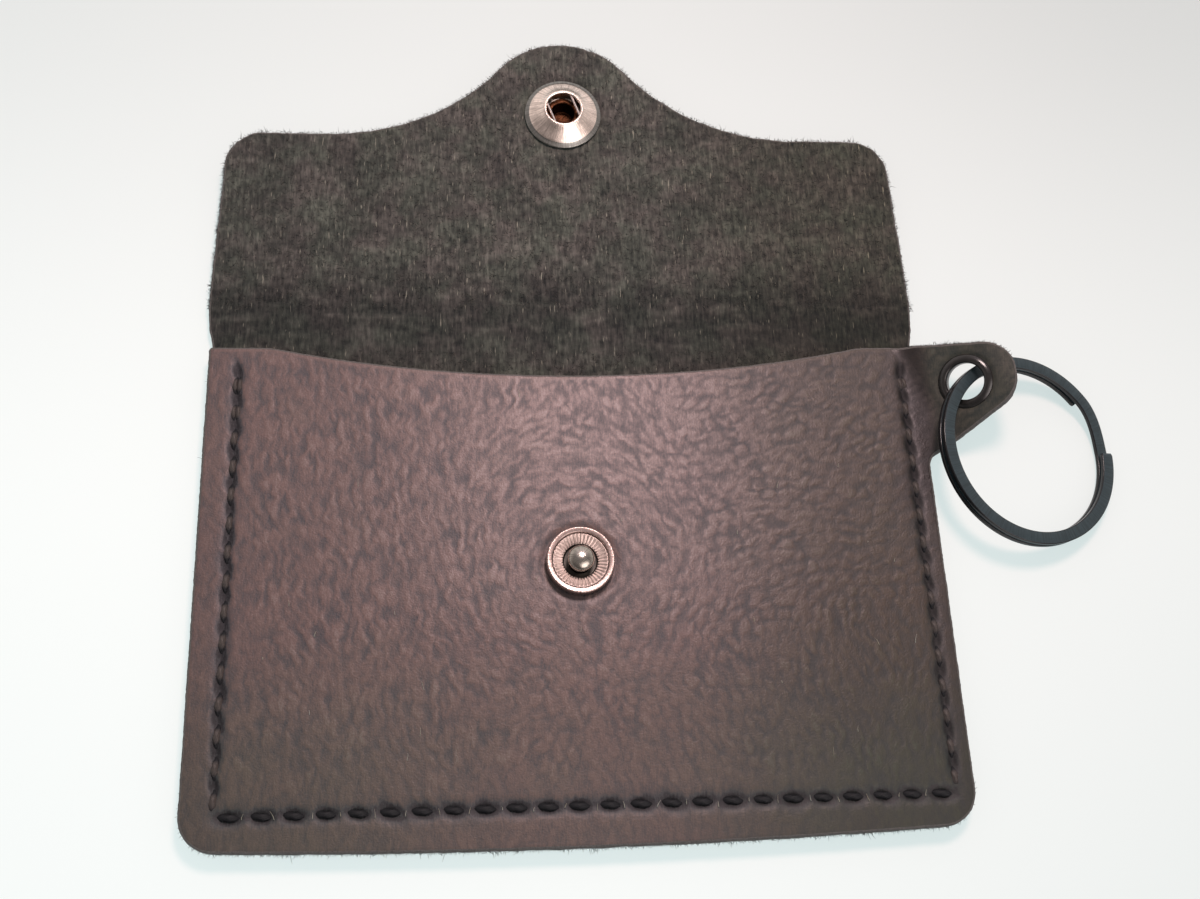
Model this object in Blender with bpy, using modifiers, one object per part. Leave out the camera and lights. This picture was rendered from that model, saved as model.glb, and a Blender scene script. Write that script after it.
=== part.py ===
"""Keychain card wallet: a stitched leather pocket with a fold-over snap flap and a key ring.

The wallet lies on its back. +X runs across it, +Y from the pocket to the flap, +Z up.
The origin is on the underside of the back panel, right under the stud of the snap.
"""
from math import asin, atan2, ceil, cos, degrees, hypot, pi, radians, sin, tan

import bmesh
import bpy
from mathutils import Matrix, Vector

MM = 0.001

# Leather sheets
LEATHER = 1.7 * MM
PANEL_GAP = 0.2 * MM
BODY_WIDTH = 108.0 * MM
BODY_HEIGHT = 75.9 * MM
BODY_CORNER = 5.0 * MM
BOTTOM_BOW = 1.0 * MM
POCKET_DROP = 3.6 * MM
SCOOP_DEPTH = 5.0 * MM
SCOOP_SHOULDER = 9.0 * MM
SCOOP_BLEND = 14.0 * MM
POCKET_CROWN = 0.9 * MM
CROWN_RISE = 30.0 * MM

# Fold and flap
SNAP_FROM_FOLD = 37.8 * MM
FOLD_GAP = 0.15 * MM
HINGE_HEIGHT = 3.9 * MM
FLAP_ROOT_WIDTH = 109.4 * MM
FLAP_WIDEST = 109.8 * MM
FLAP_WIDEST_FROM_FOLD = 4.0 * MM
FLAP_SHOULDER_WIDTH = 106.8 * MM
FLAP_SHOULDER_FROM_FOLD = 34.0 * MM
FLAP_CORNER = 6.0 * MM
TONGUE_RADIUS = 13.5 * MM
TONGUE_SWEEP_RADIUS = 36.0 * MM

# Saddle stitch, one seam round three sides of the pocket
STITCH_PITCH = 4.2 * MM
SEAM_INSET_LEFT = 4.5 * MM
SEAM_INSET_RIGHT = 2.8 * MM
SEAM_INSET_BOTTOM = 4.5 * MM
SEAM_START_DROP = 4.0 * MM
THREAD = 0.8 * MM
THREAD_IN_HOLE = 0.5 * MM
THREAD_BACK = 0.55 * MM
THREAD_CLEARANCE = 0.2 * MM
THREAD_PROUD = 0.5 * MM
THREAD_LIFT = 0.05 * MM

# Snap: stud on the pocket, socket, spring and cap on the flap
FIT = 0.15 * MM
STUD_RING_RADIUS = 4.9 * MM
STUD_RING_HEIGHT = 1.6 * MM
STUD_DISH_RADIUS = 4.1 * MM
STUD_DISH_FLOOR = 0.4 * MM
STUD_FLANGE_RADIUS = 3.9 * MM
STUD_FLANGE = 0.4 * MM
STUD_SHANK_RADIUS = 1.4 * MM
BALL_RADIUS = 1.9 * MM
BALL_HALF_HEIGHT = 1.0 * MM
BALL_HEIGHT = 2.05 * MM
SOCKET_RADIUS = 6.25 * MM
SOCKET_HEIGHT = 2.4 * MM
SOCKET_LIP_RADIUS = 3.5 * MM
SOCKET_BORE_RADIUS = 2.95 * MM
SPRING_WIRE = 0.44 * MM
SPRING_HEIGHT = 1.75 * MM
SPRING_HALF_SPAN = 2.2 * MM
SPRING_TURN = 20.0
CAP_RADIUS = 6.5 * MM
CAP_HEIGHT = 2.05 * MM
CAP_TUBE_RADIUS = 2.1 * MM
CAP_TUBE_BORE = 1.8 * MM
SNAP_ENGAGED = 3.25 * MM
TABLE_CLEARANCE = 0.03 * MM

# Key tab, cut in one with the front panel and bent up
TAB_REACH = 14.8 * MM
TAB_TOP_DROP = 1.5 * MM
TAB_END_DROP = 9.6 * MM
TAB_ROOT_DROP = 18.5 * MM
TAB_TOP_CORNER = 5.2 * MM
TAB_END_CORNER = 4.5 * MM
TAB_ROOT_FILLET = 2.5 * MM
TAB_ANGLE = 38.0
TAB_BEND_HEADING = 25.0
TAB_BEND_RADIUS = 3.5 * MM
TAB_TIP_RADIUS = 4.5 * MM
TAB_TIP_ANGLE = -5.0
EYELET_FROM_EDGE = 7.3 * MM
EYELET_DROP = 6.7 * MM
EYELET_TO_BEND = 7.5 * MM
EYELET_BORE_RADIUS = 2.8 * MM
EYELET_WALL = 0.25 * MM
EYELET_LIP = 0.45 * MM
EYELET_FLANGE_RADIUS = 4.15 * MM
EYELET_SEAT_LEATHER = 1.1 * MM
EYELET_FIT = 0.1 * MM

# Key ring, two flat turns of one wire
RING_RADIUS = 14.1 * MM
RING_WIRE_WIDTH = 1.9 * MM
RING_WIRE_THICKNESS = 0.69 * MM
RING_TURN_GAP = 0.42 * MM
RING_CHAMFER = 0.12 * MM
RING_SEATING = 0.15 * MM
RING_HEADING = -48.5
RING_UPHILL = 175.0
RING_UPPER_END = 2.0
RING_LOWER_END = 38.0

# Places that follow from the sizes
HALF_WIDTH = BODY_WIDTH / 2
FOLD_Y = SNAP_FROM_FOLD
BOTTOM_Y = FOLD_Y - BODY_HEIGHT
POCKET_Y = FOLD_Y - POCKET_DROP
FRONT_UNDERSIDE = LEATHER + PANEL_GAP
FRONT_MIDDLE = FRONT_UNDERSIDE + LEATHER / 2
FRONT_TOP = FRONT_UNDERSIDE + LEATHER
SEAM_LEFT_X = -HALF_WIDTH + SEAM_INSET_LEFT
SEAM_RIGHT_X = HALF_WIDTH - SEAM_INSET_RIGHT
SEAM_BOTTOM_Y = BOTTOM_Y + SEAM_INSET_BOTTOM
SEAM_TOP_Y = POCKET_Y - SEAM_START_DROP
HOLE_RADIUS = THREAD_IN_HOLE / 2 + THREAD_CLEARANCE
GROOVE_WIDTH = THREAD + 2 * THREAD_CLEARANCE
FRONT_THREAD_Z = FRONT_TOP + THREAD_PROUD - THREAD / 2
FRONT_GROOVE_FLOOR = FRONT_THREAD_Z - THREAD / 2 - THREAD_CLEARANCE
BACK_THREAD_Z = THREAD_LIFT + THREAD_BACK / 2
BACK_GROOVE_ROOF = BACK_THREAD_Z + THREAD_BACK / 2 + THREAD_CLEARANCE
RING_HALF_HEIGHT = RING_WIRE_THICKNESS + RING_TURN_GAP / 2

parts = bpy.data.collections.new("keychain_card_wallet")
cutters = bpy.data.collections.new("cutters")


def clear_scene():
    for item in list(bpy.data.objects):
        bpy.data.objects.remove(item, do_unlink=True)
    bpy.context.scene.collection.children.link(parts)
    bpy.context.scene.collection.children.link(cutters)


def material(name, colour, roughness, metallic):
    made = bpy.data.materials.new(name)
    made.use_nodes = True
    shader = made.node_tree.nodes["Principled BSDF"]
    shader.inputs["Base Color"].default_value = (*colour, 1.0)
    shader.inputs["Roughness"].default_value = roughness
    shader.inputs["Metallic"].default_value = metallic
    return made


def add_object(name, data, collection=parts, parent=None):
    made = bpy.data.objects.new(name, data)
    collection.objects.link(made)
    made.parent = parent
    return made


def as_cutter(item):
    item.hide_render = True
    item.display_type = "WIRE"
    return item


def cut(item, cutter):
    step = item.modifiers.new("cut_" + cutter.name, "BOOLEAN")
    step.operation = "DIFFERENCE"
    step.solver = "EXACT"
    step.object = cutter


def smoothstep(value):
    t = min(max(value, 0.0), 1.0)
    return t * t * (3.0 - 2.0 * t)


def arc(centre, radius, start, end, steps):
    """Points on an arc, angles in degrees, both ends included."""
    angles = [radians(start + (end - start) * i / steps) for i in range(steps + 1)]
    return [(centre[0] + radius * cos(a), centre[1] + radius * sin(a)) for a in angles]


def rounded(corners, steps=6):
    """Closed outline through (x, y, radius) corners, each rounded by its own radius."""
    outline = []
    count = len(corners)
    for i, (x, y, radius) in enumerate(corners):
        here = Vector((x, y))
        if radius == 0:
            outline.append((x, y))
            continue
        before = (Vector(corners[i - 1][:2]) - here).normalized()
        after = (Vector(corners[(i + 1) % count][:2]) - here).normalized()
        half = before.angle(after) / 2
        centre = here + (before + after).normalized() * (radius / sin(half))
        first = here + before * (radius / tan(half)) - centre
        last = here + after * (radius / tan(half)) - centre
        turn = first.angle_signed(last)
        for k in range(steps + 1):
            spoke = Matrix.Rotation(-turn * k / steps, 2) @ first
            outline.append(tuple(centre + spoke))
    return outline


def flat_mesh(name, outline, half_height=0.0):
    """A filled outline as a mesh, extruded by half_height each way."""
    curve = bpy.data.curves.new(name, "CURVE")
    curve.dimensions = "2D"
    curve.fill_mode = "BOTH"
    curve.extrude = half_height
    spline = curve.splines.new("POLY")
    spline.points.add(len(outline) - 1)
    for point, (x, y) in zip(spline.points, outline):
        point.co = (x, y, 0.0, 1.0)
    spline.use_cyclic_u = True
    return curve_mesh(name, curve)


def curve_mesh(name, curve):
    """The evaluated curve as a welded mesh."""
    guide = bpy.data.objects.new(name, curve)
    bpy.context.scene.collection.objects.link(guide)
    graph = bpy.context.evaluated_depsgraph_get()
    mesh = bpy.data.meshes.new_from_object(guide.evaluated_get(graph))
    bpy.data.objects.remove(guide)
    bm = bmesh.new()
    bm.from_mesh(mesh)
    bmesh.ops.remove_doubles(bm, verts=bm.verts, dist=0.001 * MM)
    bmesh.ops.recalc_face_normals(bm, faces=bm.faces)
    bm.to_mesh(mesh)
    bm.free()
    mesh.name = name
    return mesh


def prism(name, outline, bottom, top, collection=parts, parent=None):
    mesh = flat_mesh(name, outline, (top - bottom) / 2)
    mesh.transform(Matrix.Translation((0, 0, (top + bottom) / 2)))
    return add_object(name, mesh, collection, parent)


def turned(name, profile, steps, closed=False, collection=parts, parent=None):
    """Solid turned about Z from (radius, height) points that run down its outer side."""
    count = len(profile)
    links = [(i, i + 1) for i in range(count - 1)]
    if closed:
        links.append((count - 1, 0))
    mesh = bpy.data.meshes.new(name)
    mesh.from_pydata([(r, 0.0, z) for r, z in profile], links, [])
    made = add_object(name, mesh, collection, parent)
    screw = made.modifiers.new("turn", "SCREW")
    screw.steps = steps
    screw.render_steps = steps
    screw.use_merge_vertices = True
    screw.merge_threshold = 0.01 * MM
    screw.use_smooth_shade = True
    return made


def cylinder(name, radius, bottom, top, steps, collection=cutters):
    return turned(name, [(0, top), (radius, top), (radius, bottom), (0, bottom)], steps,
                  collection=collection)


def crown(x, y):
    """Lift of the front panel over the card space, none at the seams."""
    middle = (SEAM_LEFT_X + SEAM_RIGHT_X) / 2
    across = (x - middle) / ((SEAM_RIGHT_X - SEAM_LEFT_X) / 2)
    if abs(across) >= 1:
        return 0.0
    return POCKET_CROWN * (1 - across * across) ** 2 * smoothstep((y - SEAM_BOTTOM_Y) / CROWN_RISE)


def tab_profile(distance):
    """Run, rise and slope of the tab's middle surface at a flat distance past its bend."""
    slope, tip = radians(TAB_ANGLE), radians(TAB_TIP_ANGLE)
    bend_end = TAB_BEND_RADIUS * slope
    tip_start = EYELET_TO_BEND + EYELET_FLANGE_RADIUS + FIT
    tip_end = tip_start + TAB_TIP_RADIUS * (slope - tip)
    if distance <= 0:
        return distance, 0.0, 0.0
    angle = min(distance / TAB_BEND_RADIUS, slope)
    run = TAB_BEND_RADIUS * sin(angle)
    rise = TAB_BEND_RADIUS * (1 - cos(angle))
    straight = min(max(distance - bend_end, 0.0), tip_start - bend_end)
    run += straight * cos(slope)
    rise += straight * sin(slope)
    if distance > tip_start:
        angle = max(slope - (distance - tip_start) / TAB_TIP_RADIUS, tip)
        run += TAB_TIP_RADIUS * (sin(slope) - sin(angle))
        rise += TAB_TIP_RADIUS * (cos(angle) - cos(slope))
    tail = max(distance - tip_end, 0.0)
    return run + tail * cos(tip), rise + tail * sin(tip), angle


def tab_direction():
    return Vector((cos(radians(TAB_BEND_HEADING)), sin(radians(TAB_BEND_HEADING))))


def eyelet_on_sheet():
    return Vector((HALF_WIDTH + EYELET_FROM_EDGE, POCKET_Y - EYELET_DROP))


def front_surface(x, y):
    """Place of a flat pattern point on the middle surface of the front panel."""
    along = tab_direction()
    start = eyelet_on_sheet() - along * EYELET_TO_BEND
    distance = (Vector((x, y)) - start).dot(along)
    run, rise, _ = tab_profile(distance)
    moved = Vector((x, y)) + along * (run - distance)
    return Vector((moved.x, moved.y, FRONT_MIDDLE + crown(x, y) + rise))


def tab_normal():
    along = tab_direction()
    slope = radians(TAB_ANGLE)
    return Vector((-sin(slope) * along.x, -sin(slope) * along.y, cos(slope)))


def bottom_edge():
    """Lower corners and bowed bottom edge, from the left side to the right side."""
    inner = HALF_WIDTH - BODY_CORNER
    bow_steps = 10
    bow = []
    for i in range(1, bow_steps):
        x = -inner + 2 * inner * i / bow_steps
        bow.append((x, BOTTOM_Y - BOTTOM_BOW * (1 - (x / inner) ** 2)))
    left = arc((-inner, BOTTOM_Y + BODY_CORNER), BODY_CORNER, 180, 270, 6)
    right = arc((inner, BOTTOM_Y + BODY_CORNER), BODY_CORNER, 270, 360, 6)
    return left + bow + right


def scoop_edge():
    """Top edge of the pocket from right to left: a shallow scoop for the thumb."""
    reach = HALF_WIDTH - SCOOP_SHOULDER
    scoop_steps = 14
    points = [(reach, POCKET_Y, SCOOP_BLEND)]
    for i in range(1, scoop_steps):
        x = reach - 2 * reach * i / scoop_steps
        points.append((x, POCKET_Y - SCOOP_DEPTH * (1 - (x / reach) ** 2), 0))
    points.append((-reach, POCKET_Y, SCOOP_BLEND))
    return points


def front_outline():
    """Flat pattern of the front panel with its key tab."""
    tab_end = HALF_WIDTH + TAB_REACH
    tab = [(HALF_WIDTH, POCKET_Y - TAB_ROOT_DROP, TAB_ROOT_FILLET),
           (tab_end, POCKET_Y - TAB_END_DROP, TAB_END_CORNER),
           (tab_end, POCKET_Y - TAB_TOP_DROP, TAB_TOP_CORNER),
           (HALF_WIDTH, POCKET_Y, 0)]
    lower = [(x, y, 0) for x, y in bottom_edge()]
    return rounded(lower + tab + scoop_edge() + [(-HALF_WIDTH, POCKET_Y, 0)])


def flap_outline():
    """Flap from the fold to the tongue, with Y measured from the fold."""
    sweep_y = FLAP_SHOULDER_FROM_FOLD + TONGUE_SWEEP_RADIUS
    reach = TONGUE_RADIUS + TONGUE_SWEEP_RADIUS
    sweep_x = (reach ** 2 - (sweep_y - SNAP_FROM_FOLD) ** 2) ** 0.5
    tangent = degrees(atan2(sweep_y - SNAP_FROM_FOLD, sweep_x))
    side = [(FLAP_ROOT_WIDTH / 2, FOLD_GAP, 0),
            (FLAP_WIDEST / 2, FLAP_WIDEST_FROM_FOLD, 0),
            (FLAP_SHOULDER_WIDTH / 2, FLAP_SHOULDER_FROM_FOLD, FLAP_CORNER)]
    sweep = arc((sweep_x, sweep_y), TONGUE_SWEEP_RADIUS, 270, 180 + tangent, 9)
    tongue = arc((0, SNAP_FROM_FOLD), TONGUE_RADIUS, tangent, 180 - tangent, 16)
    right = side + [(x, y, 0) for x, y in sweep]
    left = [(-x, y, radius) for x, y, radius in reversed(right)]
    return rounded(right + [(x, y, 0) for x, y in tongue[1:-1]] + left)


def seam_points():
    """Stitch holes from the top of the left side, along the bottom, up the right side."""
    stops = [Vector((SEAM_LEFT_X, SEAM_TOP_Y)), Vector((SEAM_LEFT_X, SEAM_BOTTOM_Y)),
             Vector((SEAM_RIGHT_X, SEAM_BOTTOM_Y)), Vector((SEAM_RIGHT_X, SEAM_TOP_Y))]
    holes = [stops[0]]
    for start, end in zip(stops, stops[1:]):
        count = round((end - start).length / STITCH_PITCH)
        holes += [start.lerp(end, k / count) for k in range(1, count + 1)]
    return holes


def groove_outline():
    """The U that the seam's groove follows, closed round both sides and both ends."""
    half = GROOVE_WIDTH / 2
    top = SEAM_TOP_Y + half
    return [(SEAM_LEFT_X - half, top), (SEAM_LEFT_X - half, SEAM_BOTTOM_Y - half),
            (SEAM_RIGHT_X + half, SEAM_BOTTOM_Y - half), (SEAM_RIGHT_X + half, top),
            (SEAM_RIGHT_X - half, top), (SEAM_RIGHT_X - half, SEAM_BOTTOM_Y + half),
            (SEAM_LEFT_X + half, SEAM_BOTTOM_Y + half), (SEAM_LEFT_X + half, top)]


def hole_posts(name, radius, bottom, top):
    """One four-sided post at each stitch hole, all in one mesh."""
    bm = bmesh.new()
    for hole in seam_points():
        place = Matrix.Translation((hole.x, hole.y, (top + bottom) / 2))
        bmesh.ops.create_cone(bm, cap_ends=True, segments=4, radius1=radius, radius2=radius,
                              depth=top - bottom, matrix=place @ Matrix.Rotation(pi / 4, 4, "Z"))
    mesh = bpy.data.meshes.new(name)
    bm.to_mesh(mesh)
    bm.free()
    return as_cutter(add_object(name, mesh, cutters))


def thread_run(name, points, thickness, sides):
    """A run of thread as a mesh, through (x, y, z, share of the thickness) points."""
    curve = bpy.data.curves.new(name, "CURVE")
    curve.dimensions = "3D"
    curve.bevel_depth = thickness / 2
    curve.bevel_resolution = (sides - 4) // 2
    curve.use_fill_caps = True
    spline = curve.splines.new("POLY")
    spline.points.add(len(points) - 1)
    for point, (x, y, z, share) in zip(spline.points, points):
        point.co = (x, y, z, 1.0)
        point.radius = share
    return curve_mesh(name, curve)


def build_back_panel(leather, holes):
    outline = [(HALF_WIDTH, FOLD_Y - FOLD_GAP), (-HALF_WIDTH, FOLD_Y - FOLD_GAP)]
    panel = prism("back_panel", bottom_edge() + outline, 0.0, LEATHER)
    panel.data.materials.append(leather)
    cut(panel, holes)
    groove = prism("back_groove", groove_outline(), -LEATHER, BACK_GROOVE_ROOF, cutters)
    cut(panel, as_cutter(groove))


def sheet_cuts():
    """Lines that divide the front panel, so that it can crown and bend."""
    along = tab_direction()
    start = eyelet_on_sheet() - along * EYELET_TO_BEND
    bend_end = TAB_BEND_RADIUS * radians(TAB_ANGLE)
    tip_start = EYELET_TO_BEND + EYELET_FLANGE_RADIUS + FIT
    tip_length = TAB_TIP_RADIUS * radians(TAB_ANGLE - TAB_TIP_ANGLE)
    bend_steps = 4
    places = [bend_end * i / bend_steps for i in range(bend_steps + 1)]
    places += [tip_start + tip_length * i / bend_steps for i in range(bend_steps + 1)]
    lines = [(start + along * place, along) for place in places]
    across, up = 12, 7
    for i in range(1, across):
        x = SEAM_LEFT_X + (SEAM_RIGHT_X - SEAM_LEFT_X) * i / across
        lines.append((Vector((x, 0.0)), Vector((1.0, 0.0))))
    for i in range(up + 1):
        y = SEAM_BOTTOM_Y + (POCKET_Y - SEAM_BOTTOM_Y) * i / (up + 1)
        lines.append((Vector((0.0, y)), Vector((0.0, 1.0))))
    return lines


def build_front_panel(leather, holes):
    mesh = flat_mesh("front_panel", front_outline())
    bm = bmesh.new()
    bm.from_mesh(mesh)
    bmesh.ops.dissolve_faces(bm, faces=bm.faces)
    for place, normal in sheet_cuts():
        bmesh.ops.bisect_plane(bm, geom=[*bm.verts, *bm.edges, *bm.faces],
                               plane_co=(place.x, place.y, 0), plane_no=(normal.x, normal.y, 0))
    bmesh.ops.triangulate(bm, faces=bm.faces)
    for vert in bm.verts:
        vert.co = front_surface(vert.co.x, vert.co.y)
    bm.normal_update()
    if sum(face.normal.z for face in bm.faces) < 0:
        bmesh.ops.reverse_faces(bm, faces=bm.faces)
    bm.to_mesh(mesh)
    bm.free()
    panel = add_object("front_panel", mesh)
    panel.data.materials.append(leather)
    solid = panel.modifiers.new("thickness", "SOLIDIFY")
    solid.thickness = LEATHER
    solid.offset = 0.0
    solid.use_even_offset = True
    cut(panel, holes)
    groove = prism("front_groove", groove_outline(), FRONT_GROOVE_FLOOR, FRONT_TOP + LEATHER, cutters)
    cut(panel, as_cutter(groove))
    stud_hole = cylinder("stud_hole", STUD_SHANK_RADIUS + FIT, 0, FRONT_TOP * 2, 16)
    cut(panel, as_cutter(stud_hole))
    cut(panel, eyelet_cutter())


def eyelet_cutter():
    """Spool that opens the tab for the eyelet and presses in a seat on each face."""
    seat = EYELET_SEAT_LEATHER / 2
    seat_radius = EYELET_FLANGE_RADIUS + FIT
    hole = EYELET_BORE_RADIUS + EYELET_WALL + FIT
    reach = 2 * LEATHER
    profile = [(0, reach), (seat_radius, reach), (seat_radius, seat), (hole, seat),
               (hole, -seat), (seat_radius, -seat), (seat_radius, -reach), (0, -reach)]
    spool = turned("eyelet_cutter", profile, 24, collection=cutters)
    place_at_eyelet(spool)
    return as_cutter(spool)


def place_at_eyelet(item):
    item.location = front_surface(*eyelet_on_sheet())
    item.rotation_mode = "QUATERNION"
    item.rotation_quaternion = tab_normal().to_track_quat("Z", "Y")


def build_seam_thread(colour):
    holes = seam_points()
    front = []
    dip = FRONT_GROOVE_FLOOR + (THREAD_IN_HOLE + THREAD_CLEARANCE) / 2
    for here, there in zip(holes, holes[1:]):
        middle = here.lerp(there, 0.5)
        front.append((here.x, here.y, dip, THREAD_IN_HOLE / THREAD))
        front.append((middle.x, middle.y, FRONT_THREAD_Z, 1.0))
    front.append((holes[-1].x, holes[-1].y, dip, THREAD_IN_HOLE / THREAD))
    back = [(hole.x, hole.y, BACK_THREAD_Z, 1.0) for hole in holes]
    thread = add_object("seam_thread", thread_run("seam_thread", front, THREAD, 6))
    thread.data.materials.append(colour)
    under = add_object("thread_under", thread_run("thread_under", back, THREAD_BACK, 4), cutters)
    posts = hole_posts("thread_posts", THREAD_IN_HOLE / 2, BACK_THREAD_Z, dip)
    for piece in (posts, as_cutter(under)):
        join = thread.modifiers.new("join_" + piece.name, "BOOLEAN")
        join.operation = "UNION"
        join.solver = "EXACT"
        join.object = piece


def stud_base_height():
    """Top face of the front panel at the stud."""
    return FRONT_TOP + crown(0.0, 0.0)


def ball_profile():
    """Head of the stud post, from its top down to the neck."""
    points = []
    for angle in (90, 68, 46, 22, 0, -22, -42):
        points.append((BALL_RADIUS * cos(radians(angle)),
                       BALL_HEIGHT + BALL_HALF_HEIGHT * sin(radians(angle))))
    points[0] = (0.0, points[0][1])
    return points


def build_stud(steel):
    base = stud_base_height()
    hole = STUD_SHANK_RADIUS + FIT
    edge = STUD_RING_RADIUS
    profile = [(STUD_DISH_RADIUS, STUD_RING_HEIGHT - 0.12 * MM),
               (STUD_DISH_RADIUS + 0.2 * MM, STUD_RING_HEIGHT),
               (edge - 0.25 * MM, STUD_RING_HEIGHT - 0.06 * MM),
               (edge - 0.05 * MM, STUD_RING_HEIGHT - 0.4 * MM),
               (edge, FIT),
               (hole, FIT),
               (hole, STUD_DISH_FLOOR),
               (STUD_DISH_RADIUS - 0.3 * MM, STUD_DISH_FLOOR + 0.05 * MM),
               (STUD_DISH_RADIUS - 0.1 * MM, STUD_DISH_FLOOR + 0.35 * MM)]
    ring = turned("stud_ring", profile, 28, closed=True)
    ring.location.z = base
    ring.data.materials.append(steel)
    foot = STUD_DISH_FLOOR + FIT
    flange = -LEATHER - FIT
    shank = STUD_SHANK_RADIUS
    post = turned("stud_post", ball_profile() + [
        (shank, foot + 0.45 * MM), (shank + 0.45 * MM, foot + 0.2 * MM), (shank + 0.45 * MM, foot),
        (shank, foot), (shank, flange), (STUD_FLANGE_RADIUS, flange),
        (STUD_FLANGE_RADIUS, flange - STUD_FLANGE), (0, flange - STUD_FLANGE)], 24)
    post.location.z = base
    post.data.materials.append(steel)


def build_eyelet(black):
    seat = EYELET_SEAT_LEATHER / 2 + EYELET_FIT
    lip_centre = (EYELET_BORE_RADIUS + EYELET_LIP, seat)
    upper = list(reversed(arc(lip_centre, EYELET_LIP, 90, 180, 4)))
    upper += [(EYELET_FLANGE_RADIUS - 0.35 * MM, seat + EYELET_LIP - 0.1 * MM),
              (EYELET_FLANGE_RADIUS, seat + 0.12 * MM),
              (EYELET_FLANGE_RADIUS, seat),
              (EYELET_BORE_RADIUS + EYELET_WALL, seat)]
    lower = [(radius, -height) for radius, height in reversed(upper)]
    eyelet = turned("tab_eyelet", upper + lower, 28, closed=True)
    place_at_eyelet(eyelet)
    eyelet.data.materials.append(black)


def cap_profile():
    """Cap of the snap, heights from the underside of the flap leather."""
    collar = LEATHER + STUD_DISH_FLOOR + 0.3 * MM
    return [(0, -0.3 * MM), (CAP_TUBE_BORE, -0.1 * MM), (CAP_TUBE_BORE, collar - 0.1 * MM),
            (CAP_TUBE_BORE + 0.15 * MM, collar), (SOCKET_BORE_RADIUS - 0.25 * MM, collar - 0.05 * MM),
            (SOCKET_BORE_RADIUS - 0.2 * MM, collar - 0.25 * MM), (CAP_TUBE_RADIUS, collar - 0.25 * MM),
            (CAP_TUBE_RADIUS, -FIT), (CAP_RADIUS - 0.4 * MM, -FIT),
            (CAP_RADIUS - 0.05 * MM, -0.35 * MM), (CAP_RADIUS, -0.7 * MM),
            (CAP_RADIUS * 0.9, -0.65 * CAP_HEIGHT), (CAP_RADIUS * 0.7, -0.87 * CAP_HEIGHT),
            (CAP_RADIUS * 0.4, -0.98 * CAP_HEIGHT), (0, -CAP_HEIGHT)]


def resting_tilt():
    """Tilt of the open flap, in radians, that sets the cap on the table."""
    tilts = []
    for radius, height in cap_profile():
        run = snap_on_flap() - radius
        depth = HINGE_HEIGHT - height
        tilts.append(asin((TABLE_CLEARANCE - HINGE_HEIGHT) / hypot(run, depth)) + atan2(depth, run))
    return max(tilts)


def closed_slant():
    """Slope of the closed flap, in radians, with the snap pressed together."""
    rise = stud_base_height() + BALL_HEIGHT - HINGE_HEIGHT
    offset = SNAP_ENGAGED - BALL_HEIGHT - (HINGE_HEIGHT - LEATHER)
    return asin(offset / hypot(SNAP_FROM_FOLD, rise)) + atan2(rise, SNAP_FROM_FOLD)


def snap_on_flap():
    """Distance from the fold to the socket, so that it closes square over the ball."""
    rise = stud_base_height() + BALL_HEIGHT - HINGE_HEIGHT
    return SNAP_FROM_FOLD * cos(closed_slant()) + rise * sin(closed_slant())


def build_flap(leather, steel, spring_steel, hinge):
    bottom = -HINGE_HEIGHT
    top = LEATHER - HINGE_HEIGHT
    flap = prism("flap_panel", flap_outline(), bottom, top, parent=hinge)
    flap.data.materials.append(leather)
    hole = cylinder("snap_hole", CAP_TUBE_RADIUS + FIT, -LEATHER, 2 * LEATHER, 20)
    hole.parent = hinge
    hole.location = (0, snap_on_flap(), bottom)
    cut(flap, as_cutter(hole))
    cap = turned("snap_cap", cap_profile(), 28, parent=hinge)
    cap.location = (0, snap_on_flap(), bottom)
    cap.data.materials.append(steel)
    socket = turned("snap_socket", socket_profile(), 32, closed=True, parent=hinge)
    socket.location = (0, snap_on_flap(), top)
    socket.data.materials.append(steel)
    spring = build_spring(hinge)
    spring.location = (0, snap_on_flap(), top + SPRING_HEIGHT)
    spring.data.materials.append(spring_steel)


def socket_profile():
    """Socket of the snap, heights from the suede face of the flap."""
    slot = SPRING_WIRE / 2 + 0.08 * MM
    bore = SOCKET_BORE_RADIUS
    lip = SOCKET_LIP_RADIUS
    floor = 0.1 * MM
    return [(bore, SOCKET_HEIGHT - 0.12 * MM), (bore + 0.15 * MM, SOCKET_HEIGHT),
            (lip - 0.2 * MM, SOCKET_HEIGHT), (lip, SOCKET_HEIGHT - 0.18 * MM),
            (lip + 0.2 * MM, 1.8 * MM), (lip + 0.35 * MM, 1.42 * MM), (lip + 0.9 * MM, 1.14 * MM),
            (lip + 1.6 * MM, 0.92 * MM), (SOCKET_RADIUS - 0.45 * MM, 0.66 * MM),
            (SOCKET_RADIUS, 0.35 * MM), (SOCKET_RADIUS - 0.05 * MM, floor),
            (CAP_TUBE_RADIUS + FIT, floor), (CAP_TUBE_RADIUS + FIT, floor + 0.22 * MM),
            (bore, floor + 0.22 * MM), (bore, SPRING_HEIGHT - slot),
            (lip - 0.05 * MM, SPRING_HEIGHT - slot), (lip - 0.05 * MM, SPRING_HEIGHT + slot),
            (bore, SPRING_HEIGHT + slot)]


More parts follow.
